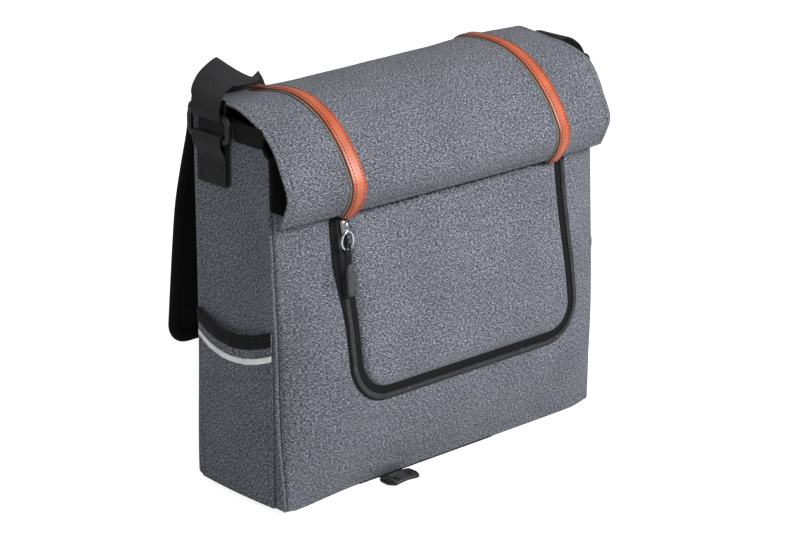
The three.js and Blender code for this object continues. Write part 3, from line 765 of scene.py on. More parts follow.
def thread_look(name, tone):
    """Twisted sewing thread, with painted shade in the grooves of its twist."""
    look = Look(name, roughness=0.6, specular_ior_level=0.4)
    twist = look.wave(look.cloth(1.0, 0.0006), 1)
    # Painted shade in the twist's grooves and painted light on its ridges.
    look.color(look.ramp(twist, *shades(0.0, 0.6, 1.0, 1.3, tone)))
    look.bump(twist, 0.00006, 0.6)
    return look.material


def board_look():
    """Pressed grey board with short fibres."""
    look = Look("grey_board", roughness=0.9)
    fibre = look.noise(look.solid(0.002), detail=5, roughness=0.7)
    look.color(look.ramp(fibre, (0.3, (0.03, 0.03, 0.03)), (0.7, (0.07, 0.07, 0.068))))
    look.bump(fibre, 0.0001, 0.4)
    return look.material


CANVAS = canvas_look()
LINING = black_cloth_look("black_lining", (0.0028, 0.0028, 0.0032), 0.0005, 0.85)
BLACK = black_cloth_look("black_nylon", (0.0042, 0.0042, 0.0049), 0.0006, 0.82)
TAPE = black_cloth_look("zip_tape", (0.0052, 0.0054, 0.0062), 0.0009, 0.85)
ELASTIC = black_cloth_look("elastic_binding", (0.0062, 0.0065, 0.0075), 0.0012, 0.8)
WEB = webbing_look()
LEATHER = leather_look()
RIBBON = ribbon_look()
PLASTIC = plastic_look("black_nylon_plastic", (0.0075, 0.0075, 0.0085), 0.32, 0.55)
COIL = plastic_look("black_coil_plastic", (0.045, 0.046, 0.050), 0.16, 0.34)
RUBBER = plastic_look("soft_black_moulding", (0.034, 0.034, 0.039), 0.4, 0.7)
CHROME = chrome_look()
REFLECTOR = reflector_look()
GREY_THREAD = thread_look("grey_thread", (0.060, 0.063, 0.072))
BLACK_THREAD = thread_look("black_thread", (0.016, 0.016, 0.018))
BROWN_THREAD = thread_look("dark_thread", (0.022, 0.006, 0.007))
BOARD = board_look()

# ---- Soft pieces: their placement is baked into their meshes ----------------------------------


def bend_main_flap(obj):
    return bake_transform(obj)


def bend_lid(obj):
    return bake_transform(obj)


def bend_rear_flap(obj):
    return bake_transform(obj)


def bend_strap_left(obj):
    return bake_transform(obj)


def bend_strap_right(obj):
    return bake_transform(obj)


# ---- Body -------------------------------------------------------------------------------------

FRONT_ROUND = 4.0
BACK_ROUND = 7.0
BASE_ROUND = 4.0
BASE_TUCK = 2.0
BASE_SHARES = (0.93, 0.6, 0.25)  # rings of the base, as shares of its outline
BASE_ANGLES = np.linspace(0, math.pi / 2, 4)  # rows round the base's edge
WALL_ROWS = 58
WALL = 2.5
LINING_THICK = 0.8
UPPER_ROW = 40  # a row of the shell's grid well above its foot
GUSSET_COLUMNS = 22
BACK_COLUMNS = 44
FACING_Z = 259.0  # above it the front is black, under the flap
CORNER_STEPS = np.linspace(0, 1, 9)[1:-1]
SEAM = np.array([0.2, 0.8, 1.1, 0.6, -1.3, -0.5, 0.0])  # ridge and groove round the front corner
GROOVE = 4  # the place of the groove in it
GUSSET_TOP = ([-49.5, -46, -40, -30, -14, 45.5], [316, 321, 326, 331, 335.5, SIDE_TOP])


def lean(x, z):
    """How far the front's edges stand forward: the left foot spreads and the top tapers."""
    foot = 10.0 * np.exp(-((z / 52) ** 2)) * rise(-x - 95, 95) ** 1.5
    taper = -4.5 * rise(z - 150, 110) * rise(np.abs(x) - 120, 70) ** 2
    return foot + taper


def heel(z):
    """How far the back's foot stands behind a straight wall."""
    return 5.0 * np.exp(-(((z - 15) / 85) ** 2))


def side_relief(y, z, side):
    """The gussets sink a little between their seams, with creases high on the back edge."""
    place = xyz(side * 40.0, y, z)
    middle = rise(50 - np.abs(y), 12) * rise(z - 160, 40)
    sink = -1.2 * middle + 0.5 * middle * waves(place, 34, 5.7)
    crease = np.zeros_like(y)
    for level, tilt in ((196, 0.5), (178, -0.35), (168, 0.25)):
        line = (z - level) - tilt * (y - 40)
        crease -= 0.9 * dent(line, 2.6, y - 40, 9)
    return sink + crease * (side < 0)


def outline(z, inset=0.0):
    """The bag's outline at the heights of its columns, from the front's left corner and round."""
    edge_x = np.linspace(160, 184, 7)
    front_x = np.concatenate([-edge_x[::-1], np.linspace(-156.5, 156.5, 93), edge_x])
    gusset_y = np.linspace(-HALF_D + FRONT_ROUND, HALF_D - BACK_ROUND, GUSSET_COLUMNS)
    back_x = np.linspace(HALF_W - BACK_ROUND, -HALF_W + BACK_ROUND, BACK_COLUMNS)
    turn = len(CORNER_STEPS)
    counts = np.cumsum([len(front_x), turn, GUSSET_COLUMNS, turn, BACK_COLUMNS, turn, GUSSET_COLUMNS])
    total = counts[-1] + turn
    z = np.broadcast_to(np.asarray(z, float), (total,))
    parts = np.split(z, counts)
    front = front_place(front_x, parts[0])
    front[:, 1] += inset - lean(front_x, parts[0])
    ahead = rise(20 - gusset_y, 70)
    behind = rise(gusset_y - 5, 45)
    right_y = gusset_y - lean(HALF_W, parts[2]) * ahead + heel(parts[2]) * behind
    right = xyz(HALF_W - inset + side_relief(gusset_y, parts[2], 1), right_y, parts[2])
    back = xyz(back_x, HALF_D - inset + heel(parts[4]), parts[4])
    flat_y = gusset_y[::-1]
    left_y = flat_y - lean(-HALF_W, parts[6]) * ahead[::-1] + heel(parts[6]) * behind[::-1]
    left = xyz(-HALF_W + inset - side_relief(flat_y, parts[6], -1), left_y, parts[6])

    def corner(a, b, x, y, heights, seam):
        moved = heel(heights) if y > 0 else -lean(x, heights)
        top = xyz(x, y + moved, heights)
        t = CORNER_STEPS[:, None]
        curve = (1 - t) ** 2 * a + 2 * t * (1 - t) * top + t**2 * b
        outward = unit(np.array([np.sign(x), np.sign(y), 0.0]))
        curve = curve + outward * seam[:, None]
        curve[:, 2] = heights
        return curve

    side_x, front_edge, back_edge = HALF_W - inset, -HALF_D + inset, HALF_D - inset
    quiet = np.zeros(turn)
    return np.vstack([
        front,
        corner(front[-1], right[0], side_x, front_edge, parts[1], SEAM[::-1]),
        right,
        corner(right[-1], back[0], side_x, back_edge, parts[3], quiet),
        back,
        corner(back[-1], left[0], -side_x, back_edge, parts[5], quiet),
        left,
        corner(left[-1], front[0], -side_x, front_edge, parts[7], SEAM),
    ]), counts


def column_tops(lowered=0.0):
    """How high each column of the outline rises."""
    ring, counts = outline(100.0)
    y = ring[:, 1]
    tops = np.interp(y, *GUSSET_TOP)
    tops[: counts[0]] = FRONT_TOP
    back = slice(counts[3], counts[4])
    tops[back] = BACK_TOP
    for part in (slice(counts[2], counts[3]), slice(counts[4], counts[5])):
        tops[part] = SIDE_TOP - 2.2
    rise = np.linspace(FRONT_TOP, GUSSET_TOP[1][0], len(CORNER_STEPS))
    tops[counts[0] : counts[1]] = rise
    tops[counts[6] :] = rise[::-1]
    return tops - lowered, counts


def facing_edge(x):
    """The height above which the front is black, under the flap; it rises to the corners."""
    return FACING_Z + 9 * rise(np.abs(x) - 172, 18)


def set_facing_edge(grid, counts):
    """Moves the points nearest to the facing's edge onto it."""
    for j in (*range(counts[1]), *range(counts[6], grid.shape[1])):
        level = float(facing_edge(grid[UPPER_ROW, j, 0]))
        i = int(np.argmin(np.abs(grid[:, j, 2] - level)))
        grid[i, j, 2] = level


def body_shell():
    """The canvas walls and base in one piece, black above the facing's edge, open behind the zip."""
    tops, counts = column_tops()
    rows = []
    for angle in BASE_ANGLES:
        rows.append(outline(BASE_ROUND * (1 - math.cos(angle)), BASE_TUCK * (1 - math.sin(angle)))[0])
    for share in np.linspace(0, 1, WALL_ROWS)[1:]:
        rows.append(outline(BASE_ROUND + (tops - BASE_ROUND) * share)[0])
    flat = rows[0]
    for share in BASE_SHARES:
        rows.insert(0, flat * (share, share, 1))
    grid = np.array(rows)
    near_corner = np.exp(-(((HALF_W - np.abs(grid[..., 0])) / 14) ** 2))
    grid[..., 2] += 3.0 * near_corner * np.exp(-((grid[..., 2] / 8) ** 2))
    uv = grid_uv(with_first(grid))
    straight = grid.copy()
    set_facing_edge(grid, counts)
    cut_pocket_window(grid, counts[0])
    moved = grid[:, : counts[0]] - straight[:, : counts[0]]
    uv[:, : counts[0]] += moved[..., [0, 2]] * MM
    seam = Mesh()
    first = len(BASE_SHARES) + len(BASE_ANGLES) - 1
    for column in (counts[0] + len(SEAM) - 1 - GROOVE, counts[6] + GROOVE):
        seam.tube(grid[first:-1, column], 0.55, sides=6, square=(0, 1, 0))
    seam.make("front_corner_seams", [BLACK_THREAD], "body", "canvas")
    wide = with_first(grid)
    centre = (wide[:-1, :-1] + wide[1:, 1:]) / 2
    front = np.arange(centre.shape[1]) < counts[0] - 1
    in_window = pocket_distance(centre[..., 0], centre[..., 2]) > -WINDOW_GROW
    keep = ~(in_window & front[None, :] & (centre[..., 2] < POCKET_TOP) & (centre[..., 2] > 20))
    columns = np.arange(centre.shape[1])
    facing = (columns < counts[0] + 4) | (columns > counts[6] + 2)
    slots = np.where((centre[..., 2] > facing_edge(centre[..., 0])) & facing[None, :], 1, 0)
    mesh = Mesh()
    index = mesh.grid(grid, slots, wrap=True, keep=keep, uv=uv)
    close_base(mesh, index, grid[0])
    shell = mesh.make("bag_shell", [CANVAS, LINING])
    thicken(shell, WALL, 1)
    for vertex in shell.data.vertices:
        vertex.co.z = max(vertex.co.z, 0.0)  # the base stays flat where its corners are folded tight
    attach(shell, "body")
    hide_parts("front_panel", "back_panel", "base_panel", "left_gusset", "right_gusset")


def close_base(mesh, index, ring):
    """One face across the lowest ring of a grid."""
    mesh.face(index[0, :-1][::-1], [(p[0] * MM, p[1] * MM) for p in ring[::-1]])


def thicken(obj, thick, inner_slot):
    """Gives a sheet its thickness, inwards. inner_slot is how many slots on its inner material is."""
    solid = obj.modifiers.new("thickness", "SOLIDIFY")
    solid.thickness = thick * MM
    solid.offset = -1
    solid.material_offset = inner_slot
    apply_modifiers(obj)


def cut_pocket_window(grid, front_columns):
    """Moves the points beside the pocket's window onto its edge, so that the cut is clean."""
    edge, reach, low, near_top = -WINDOW_GROW, 3.0, 60, 3.2
    for i in range(grid.shape[0]):
        for j in range(front_columns):
            x, _, z = grid[i, j]
            if not low < z < POCKET_TOP + 3:
                continue
            if abs(z - POCKET_TOP) < near_top and pocket_distance(x, z) > edge:
                grid[i, j] = front_place(x, POCKET_TOP)
                continue
            distance = float(pocket_distance(x, z))
            if abs(distance - edge) < reach:
                slope_x = float(pocket_distance(x + 0.1, z) - distance) * 10
                slope_z = float(pocket_distance(x, z + 0.1) - distance) * 10
                grid[i, j] = front_place(x + (edge - distance) * slope_x, z + (edge - distance) * slope_z)


# Sections of the binding folded over the rim: out from the wall and up from its top.
RIM_OUTER = [
    (0.1, -2.6), (0.5, -2.8), (0.7, -0.6), (0.1, 0.7), (-1.2, 1.1), (-2.8, 0.8), (-3.4, -0.6), (-3.3, -9),
]
RIM_INNER = [
    (0.0, -2.6), (0.0, -2.0), (0.0, -1.0), (-0.2, -0.2),
    (-1.2, 0.2), (-2.2, -0.2), (-2.65, -1.2), (-2.65, -9),
]


def rim_binding():
    """Black tape folded over the top edge of the front and the gussets."""
    tops, counts = column_tops()
    ring = outline(tops)[0]
    start, stop = counts[5], counts[2]
    path = np.vstack([ring[start:], ring[:stop]])
    along = unit(np.gradient(path * (1, 1, 0), axis=0))
    outward = np.cross(along, (0, 0, 1))

    def face(section):
        return np.array([[p + o * a + (0, 0, h) for p, o in zip(path, outward)] for a, h in section])

    mesh = Mesh().slab(face(RIM_OUTER), face(RIM_INNER))
    mesh.make("rim_binding", [ELASTIC], "body", "black_fabric")


def inner_lining():
    """The sewn lining: a loose inner bag with rounded corners and soft folds."""
    half_x, front, back, floor, top = 186.6, -49.8, 46.8, 7.3, 309.5
    radius, columns = 9.0, 150
    turn = np.linspace(0, math.pi / 2, 6)
    corners = [
        (half_x, front, -math.pi / 2), (half_x, back, 0),
        (-half_x, back, math.pi / 2), (-half_x, front, math.pi),
    ]
    ring = []
    for x, y, start in corners:
        cx, cy = x - math.copysign(radius, x), y - math.copysign(radius, y)
        ring += [(cx + radius * math.cos(start + a), cy + radius * math.sin(start + a)) for a in turn]
    ring = np.array(ring + ring[:1])
    ring = evenly(ring, columns)[:-1]
    rows = []
    for inset, z in ((60, floor), (20, floor), (6, floor), (1.6, floor + 1.4), (0.3, floor + 5)):
        rows.append(xyz(*(ring * (1 - inset / 190, 1 - inset / 62)).T, z))
    for z in np.linspace(floor + 12, top, 40):
        place = xyz(*ring.T, z)
        share = 0.5 + 0.5 * waves(place, 42, 11.3)
        settled = settle(place, share)
        settled[:, 2] += 19.5 * rise(ring[:, 1] - 42, 4.5) * ((z - floor) / (top - floor)) ** 4
        rows.append(settled)
    grid = np.array(rows)
    mesh = Mesh()
    index = mesh.grid(grid, wrap=True)
    close_base(mesh, index, grid[0])
    lining = mesh.make("inner_lining", [LINING])
    thicken(lining, LINING_THICK, 0)
    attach(lining, "body")
    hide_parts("lining")


def settle(place, share):
    """Draws a ring of lining in by up to a millimetre and a half."""
    middle = place.mean(axis=0)
    pull = unit((middle - place) * (1, 1, 0))
    return place + pull * (1.5 * share)[:, None]


def sleeve_divider():
    """The padded wall of the laptop sleeve, quilted in three channels, with a bound top edge."""
    half, low, top, middle = 180.5, 7.9, 270, 32.0
    x = np.linspace(-half, half, 73)
    z = np.concatenate([np.linspace(low, 258, 52), np.linspace(260, top, 5)])
    grid_x, grid_z = np.meshgrid(x, z)
    edge = np.minimum(half - np.abs(grid_x), np.minimum(grid_z - low, top - grid_z))
    puff = 1.5 * np.sqrt(rise(edge, 14)) + 0.5
    for seam in (95, 180):
        puff = puff * (1 - 0.6 * np.exp(-(((grid_z - seam) / 3) ** 2)))
    front, back = (xyz(grid_x, middle + way * puff, grid_z) for way in (-1, 1))
    divider = Mesh().slab(front, back).make("sleeve_wall", [LINING], "body", "lining", ["sleeve_divider"])
    binding = Mesh().tube(xyz(x, middle, top - 1.5), 2.9, sides=12, square=(0, 1, 0))
    binding.make("sleeve_binding", [ELASTIC], "body", "black_fabric")


# ---- Zipped front pocket ----------------------------------------------------------------------


def lid_place(x, z):
    """The lid's padded surface: it rolls up from its edge to a soft crown."""
    distance = pocket_distance(x, z)
    edge = np.minimum(distance, (POCKET_TOP + 3 - z) * 0.9)
    roll = np.sqrt(1 - (1 - rise(edge, 11)) ** 2)
    place = xyz(x, 0.0, z)
    swell = 0.55 * waves(place, 60, 21.7) + 0.3 * waves(place, 24, 2.2)
    fold = -0.8 * dent((z - 232) + 0.25 * (x + 96), 4.5, x + 96, 24)
    deep = rise(distance, 25)
    return xyz(x, front_y(x, z) - 0.7 - (POCKET_RAISE - 0.5) * roll - (swell + fold) * deep, z)


def rounded_heights(low, corner, top, in_corner, above):
    """Heights of the rows of a panel whose two bottom corners are round, closer together there."""
    return np.concatenate([
        low + corner * (1 - np.sin(np.linspace(math.pi / 2, 0, in_corner))),
        np.linspace(low + corner, top, above)[1:],
    ])


def rounded_half(z, low, corner, half):
    """Half the width of such a panel at a height."""
    sunk = max(0.0, low + corner - z)
    return half - corner + math.sqrt(max(corner**2 - sunk**2, 0))


def pocket_lid():
    """The pocket's padded front panel, which opens as a lid."""
    columns = 61
    turn, flat_share = np.linspace(-math.pi / 2, math.pi / 2, columns), np.linspace(-1, 1, columns)
    share = np.sin(turn) * 0.35 + flat_share * 0.65
    rows = []
    for z in rounded_heights(POCKET_LOW, POCKET_CORNER, POCKET_TOP, 16, 32):
        half = rounded_half(z, POCKET_LOW, POCKET_CORNER, POCKET_HALF)
        rows.append(np.column_stack([POCKET_X + half * share, np.full(columns, z)]))
    flat = np.array(rows)
    x, z = flat[..., 0], flat[..., 1]
    outer = lid_place(x, z)
    inner = xyz(x, front_y(x, z) - 0.1, z)
    lid = Mesh().slab(outer, inner, (0, 1, 0)).make("pocket_lid_pad", [CANVAS, LINING])
    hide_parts("pocket_lid_panel")
    bend_lid(lid)


TAPE_LIFT = 0.3
TAPE_THICK = 0.8
TAPE_GRID_LINES = 8


def tape_grid(near, far, right_far=None):
    """A flat tape beside the pocket's edge, outer and inner face. It may narrow towards the right."""
    line = pocket_outline(near)
    run = np.diff(line, axis=0, append=line[-1:] + (line[-1:] - line[-2:-1]))
    out = unit(np.column_stack([run[:, 1], -run[:, 0]]))
    far_here = np.full(len(line), far)
    if right_far is not None:
        across = rise(line[:, 0] - POCKET_X + POCKET_HALF - 8, 45)
        narrow = np.maximum(across, rise(215 - line[:, 1], 60))
        far_here = far + (right_far - far) * narrow * narrow * (3 - 2 * narrow)
    shares = np.linspace(1, 0, TAPE_GRID_LINES)
    lines = [line + out * ((far_here - near) * share)[:, None] for share in shares]
    outer = np.array([front_place(line[:, 0], line[:, 1], TAPE_LIFT + TAPE_THICK) for line in lines])
    inner = np.array([front_place(line[:, 0], line[:, 1], TAPE_LIFT) for line in lines])
    return outer, inner


def coil(grow, phase):
    """Teeth in a row: short glossy bars across the zip, one each pitch."""
    pitch, reach, lift = 1.7, 1.45, 1.3
    line = pocket_outline(grow, 900)
    along = lengths_along(line)
    mesh = Mesh()
    for s in np.arange(phase * pitch + 1, along[-1] - 1, pitch):
        x, z = np.interp(s, along, line[:, 0]), np.interp(s, along, line[:, 1])
        ahead = np.array([np.interp(s + 0.5, along, line[:, k]) for k in (0, 1)])
        run = unit(ahead - (x, z))
        out = np.array([run[1], -run[0]])
        bar = []
        for share, height in ((-1, 0.1), (-0.6, 0.95), (0.6, 0.95), (1, 0.1)):
            px, pz = x + out[0] * reach * share, z + out[1] * reach * share
            bar.append(front_place(px, pz, lift + height))
        mesh.tube(bar, [0.34, 0.5, 0.5, 0.34], sides=6, square=(0, 1, 0))
    return mesh


def zip_fastener():
    """Both tapes with their teeth, and the stitches that hold the outer tape. Distances are outwards."""
    outer = Mesh().slab(*tape_grid(9.5, 17.8, right_far=13.0))
    outer.make("zip_tape_wall", [TAPE], "body", "black_fabric", ["zipper_tape_outer"])
    inner = Mesh().slab(*tape_grid(0.3, 9.2))
    bend_lid(inner.make("zip_tape_lid", [TAPE], None, "black_fabric", ["zipper_tape_inner"]))
    teeth = coil(ZIP_MIDDLE + 1.0, 0.0)
    teeth.make("zip_teeth_wall", [COIL], "body", "plastic", ["zip_coil_outer"])
    teeth = coil(ZIP_MIDDLE - 1.0, 0.5)
    bend_lid(teeth.make("zip_teeth_lid", [COIL], None, "plastic", ["zip_coil_inner"]))
    line = pocket_outline(12.2, 300)
    path = front_place(line[:, 0], line[:, 1], 1.2)
    threads = Mesh().stitches(path, alike(FORWARD, len(path)), *ZIP_STITCH)
    threads.make("zip_stitches_wall", [BLACK_THREAD], "body", "black_fabric")


def rounded_rectangle(half_a, half_b, radius, per_corner=6):
    """Corner points of a rectangle with round corners, counter-clockwise."""
    points = []
    for k, (a, b) in enumerate(((1, -1), (1, 1), (-1, 1), (-1, -1))):
        centre_a, centre_b = a * (half_a - radius), b * (half_b - radius)
        for angle in np.linspace(0, math.pi / 2, per_corner):
            turn = angle + (k - 1) * math.pi / 2
            points.append((centre_a + radius * math.cos(turn), centre_b + radius * math.sin(turn)))
    return np.array(points)


def dome_plate(outline_points, levels):
    """A closed plate from an outline: levels are (shrink in mm, height) from back to front."""
    away = unit(outline_points - outline_points.mean(axis=0))
    flat = np.ones(len(away))
    return np.array([np.column_stack([outline_points - away * shrink, flat * up]) for shrink, up in levels])


def close_ends(mesh, rings):
    """Adds a tube of rings, closed by one face at each end."""
    index = mesh.add(rings)
    mesh.quads(with_first(index), grid_uv(with_first(rings)))
    mesh.face(index[0][::-1], [(0, 0)] * index.shape[1])
    mesh.face(index[-1], [(0, 0)] * index.shape[1])


def add_plate(mesh, rings, place):
    """Adds the rings of dome_plate to a mesh. place turns flat coordinates into the frame's."""
    close_ends(mesh, np.array([[place(*p) for p in ring] for ring in rings]))


# The straight left leg of the zip runs forward by this much as it runs down by that much.
LEG_FORWARD = 0.1862
LEG_DOWN = 0.9825


def zip_slider():
    """A cast slider: two plates on a bridge, a flared mouth and an arch for the pull."""
    low, high = (np.array(c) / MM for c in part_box("zip_slider"))
    middle = (low + high) / 2
    slope = LEG_FORWARD / LEG_DOWN
    front = low[1] + 0.6

    def place(a, b, c):
        return (middle[0] + a, front + 2.6 + slope * b - c, middle[2] + b)

    shape = rounded_rectangle(3.1, 6.2, 2.2)
    shape[:, 0] *= 1 + 0.09 * shape[:, 1] / 6
    mesh = Mesh()
    add_plate(mesh, dome_plate(shape, [(0.5, -0.5), (0.0, -0.2), (0.0, 0.5), (0.5, 0.9)]), place)
    upper = [(0.5, 1.3), (0.0, 1.6), (0.0, 2.3), (0.8, 2.8), (1.6, 2.9)]
    add_plate(mesh, dome_plate(shape * 0.97, upper), place)
    add_plate(mesh, dome_plate(rounded_rectangle(1.2, 3.4, 0.8), [(0, 0.6), (0, 1.7)]), place)
    arch_keys = ((4.6, 2.4), (4.2, 3.9), (2.2, 4.9), (-0.8, 5.1), (-3.4, 4.4), (-4.4, 2.6))
    arch = [place(0, b, c) for b, c in arch_keys]
    mesh.tube(smooth_line(arch, 40, 20), 0.85, sides=10, square=(1, 0, 0))
    mesh.make("slider_casting", [CHROME], "zip_slider", "chrome", ["zip_slider"])


TIP_LENGTH = 27
GRIP_RIBS = 5


def zip_pull():
    """The bail, the cord through it and the moulded tip."""
    low, high = (np.array(c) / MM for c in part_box("zip_pull_ring"))
    middle, size = (low + high) / 2, (high - low) / 2
    turn = np.linspace(0, 2 * math.pi, 40, endpoint=False)
    ring = xyz(
        middle[0] + (size[0] + 0.7) * np.sin(turn),
        middle[1],
        middle[2] - 1.3 + (size[2] + 0.7) * np.cos(turn) - 0.5 * np.sin(turn) ** 2,
    )
    mesh = Mesh().tube(ring, 1.05, sides=10, closed=True, square=(0, 1, 0))
    mesh.make("pull_bail", [CHROME], "zip_pull", "chrome", ["zip_pull_ring"])

    tip_low, tip_high = (np.array(c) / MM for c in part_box("zip_puller"))
    x = middle[0]
    top = np.array([x, middle[1] - 0.6, low[2] + 2.0])
    foot = np.array([x - 2.0, (tip_low[1] + tip_high[1]) / 2 + 1.2, tip_low[2] + 8.0])
    line = unit(foot - top)
    length = np.linalg.norm(foot - top)
    cord_end = top + line * (length - TIP_LENGTH)
    offsets = [(cord_end, 1.1, 0, 0), (cord_end, 1.5, 0, 8), (top, 1.9, -0.4, -4), (top, 1.1, -1.1, 0.6)]
    loop = [origin + (a, b, c) for origin, a, b, c in offsets]
    loop += [origin + (-a, b, c) for origin, a, b, c in offsets[::-1]]
    cord = Mesh().tube(smooth_line(loop, 120, 60), 1.0, sides=10, square=(0, 1, 0))
    cord.make("pull_cord", [WEB], "zip_pull", "plastic")

    across = np.array([1.0, 0, 0])
    outward = unit(np.cross(line, across))
    # Levels of the tip: distance from the cord's end, half the width and half the depth.
    levels = [(-1.0, 0.5, 0.5), (-0.4, 2.0, 1.7), (1.5, 2.9, 2.3), (4, 3.7, 2.5)]
    for k in range(GRIP_RIBS):
        levels += [(6 + 2.6 * k, 4.3, 2.6), (7.2 + 2.6 * k, 3.85, 2.2)]
    levels += [(20, 4.2, 2.5), (24, 3.9, 2.3), (26.4, 2.9, 1.8), (27.2, 1.0, 0.8)]
    rings = []
    turn = np.linspace(0, 2 * math.pi, 16, endpoint=False)
    for far, wide, deep in levels:
        centre = cord_end + line * far
        rings.append([centre + across * wide * math.cos(a) + outward * deep * math.sin(a) for a in turn])
    mesh = Mesh()
    close_ends(mesh, np.array(rings)[::-1])
    mesh.make("pull_tip", [RUBBER], "zip_pull", "plastic", ["zip_puller"])


# ---- Main flap --------------------------------------------------------------------------------

FLAP_ROWS = 96
FLAP_THICK = 3.6
FLAP_EDGE_THICK = 2.0
FLAP_HEM_THICK = 2.2
HEM_INSET = 6.0
HEM_STITCH_ROW = 0.035


def flap_profile(x):
    """The flap's outer line at one distance across, from the hem up and back, with its normals."""
    weight = 1 - (abs(x) / HALF_W) ** 4
    sag = CREST_SAG * min(1, max(0, CREST_LEVEL_X - x) / CREST_SINK_WIDTH)
    ends = FLAP_LEFT_END if x < 0 else FLAP_RIGHT_END
    keys = []
    for (y, z), (end_y, end_z), share in zip(FLAP_MIDDLE, ends, SAG_SHARES):
        keys.append((end_y + (y - end_y) * weight, end_z + (z - sag * share - end_z) * weight))
    line = smooth_line(keys, 240, FLAP_ROWS)[::-1]
    along = unit(np.gradient(line, axis=0))
    outward = np.column_stack([-along[:, 1], along[:, 0]])
    return line, outward


def flap_place(x, row_share, off=0.0):
    """Places and normals on the flap at one distance across and shares of the way up from its hem."""
    line, outward = flap_profile(x)
    at = row_share * FLAP_ROWS
    places = np.arange(FLAP_ROWS + 1)
    y, z, ny, nz = (np.interp(at, places, v) for v in (*line.T, *outward.T))
    n = unit(xyz(0.0, ny, nz))
    return xyz(x, y, z) + n * off, n


def flap_relief(x, place):
    """Soft swells of the padding and a stitched hem inside both ends."""
    swell = 0.7 * waves(place, 70, 14.9) + 0.35 * waves(place, 28, 6.6)
    from_end = HALF_W - abs(x)
    groove = -0.55 * math.exp(-(((from_end - HEM_INSET) / 0.9) ** 2))
    ridge = 0.3 * math.exp(-(((from_end - 3.2) / 1.8) ** 2))
    return swell * min(1, from_end / 30) + (groove + ridge)


def main_flap():
    """The padded flap, canvas outside and black inside, with its hem's stitches."""
    edge = np.array([0, 0.8, 1.8, 3, 4, 4.8, 5.4, 6, 6.6, 7.4, 9, 12])
    inner_x = np.linspace(-HALF_W + 16, HALF_W - 16, 84)
    columns = np.concatenate([edge - HALF_W, inner_x, HALF_W - edge[::-1]])
    rows = np.arange(FLAP_ROWS + 1)
    fade = rise(rows, 4) * rise(FLAP_ROWS - rows, 8)
    outer, inner = [], []
    for x in columns:
        line, outward = flap_profile(x)
        normals, place = xyz(0.0, *outward.T), xyz(x, *line.T)
        relief = flap_relief(x, place) * fade
        from_end = HALF_W - abs(x)
        thick = FLAP_EDGE_THICK + (FLAP_THICK - FLAP_EDGE_THICK) * min(1, from_end / 14)
        hem = FLAP_HEM_THICK + (thick - FLAP_HEM_THICK) * rise(rows, 7)
        outer.append(place + normals * relief[:, None])
        inner.append(place - normals * hem[:, None])
    outer, inner = np.array(outer).transpose(1, 0, 2), np.array(inner).transpose(1, 0, 2)
    slots = np.ones((outer.shape[0] - 1, outer.shape[1] - 1), int)
    slots[:3] = 0
    mesh = Mesh().slab(outer, inner, (0, slots, 0))
    flap = mesh.make("main_flap_pad", [CANVAS, LINING])
    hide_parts("main_flap_shell", "main_flap_lining")
    bend_main_flap(flap)
    threads = Mesh()
    share = np.linspace(0.012, 0.97, 200)
    for side in (-1, 1):
        path, normals = flap_place(side * (HALF_W - HEM_INSET), share, -0.35)
        threads.stitches(path, normals, *SEAM_STITCH)
    across = np.linspace(-HALF_W + 7, HALF_W - 7, 120)
    hem = np.array([flap_place(x, np.array([HEM_STITCH_ROW])) for x in across])[:, :, 0]
    threads.stitches(hem[:, 0], hem[:, 1], *HEM_STITCH)
    bend_main_flap(threads.make("flap_stitches", [GREY_THREAD], None, "canvas"))


CURL_STEPS = 9
RIBBON_MARGIN = 1.9  # how far the ribbon shows at the strip's left
STRIP_LIFT = 1.15
STRIP_STITCH_INSET = 2.8


def strip_line(x, off):
    """A path over the flap at one distance across, curling in under the hem at its foot."""
    path, normals = flap_place(x, np.linspace(0.0, 0.945, 110), off)
    foot, normal = path[0], normals[0]
    down = unit(path[0] - path[1])
    turn, radius = np.linspace(math.pi * 0.95, 0.12, CURL_STEPS), (FLAP_THICK + 1.0) / 2 + off
    centre = foot - normal * radius + down * 0.6
    curl = [centre + normal * radius * -math.cos(a) + down * radius * math.sin(a) for a in turn]
    curl_normals = [normal * -math.cos(a) + down * math.sin(a) for a in turn]
    tail = [curl[0] - down * 4.0]
    return np.vstack([tail, curl, path]), np.vstack([[curl_normals[0]], curl_normals, normals])


def strip_layer(x0, x1, columns, off, thick, crown):
    """Outer and inner face of a strip over the flap, with a slightly raised middle."""
    outer, inner = [], []
    for share in np.linspace(0, 1, columns):
        path, normals = strip_line(x0 + (x1 - x0) * share, off)
        lift = crown * (1 - abs(2 * share - 1) ** 5)
        outer.append(path + normals * (thick - crown + lift))
        inner.append(path)
    return np.array(outer).transpose(1, 0, 2), np.array(inner).transpose(1, 0, 2)


def strips():
    """Leather strips on khaki ribbon, both sewn over the flap."""
    threads = Mesh()
    for side, name in SIDES:
        low = side * STRIP_X - STRIP_WIDTH / 2
        backing = Mesh().slab(*strip_layer(low - RIBBON_MARGIN, low + 15, 9, 0.35, 0.7, 0.15))
        bend_main_flap(backing.make(f"ribbon_{name}", [RIBBON], None, "ribbon", [f"strip_backing_{name}"]))
        strip = Mesh().slab(*strip_layer(low, low + STRIP_WIDTH, 17, STRIP_LIFT, 1.5, 0.5))
        bend_main_flap(strip.make(f"leather_{name}", [LEATHER], None, "leather", [f"leather_strip_{name}"]))
        for inset in (STRIP_STITCH_INSET, STRIP_WIDTH - STRIP_STITCH_INSET):
            path, normals = strip_line(low + inset, STRIP_LIFT + 1.28)
            threads.stitches(path[CURL_STEPS:], normals[CURL_STEPS:], *STRIP_STITCH)
    bend_main_flap(threads.make("strip_stitches", [BROWN_THREAD], None, "leather"))


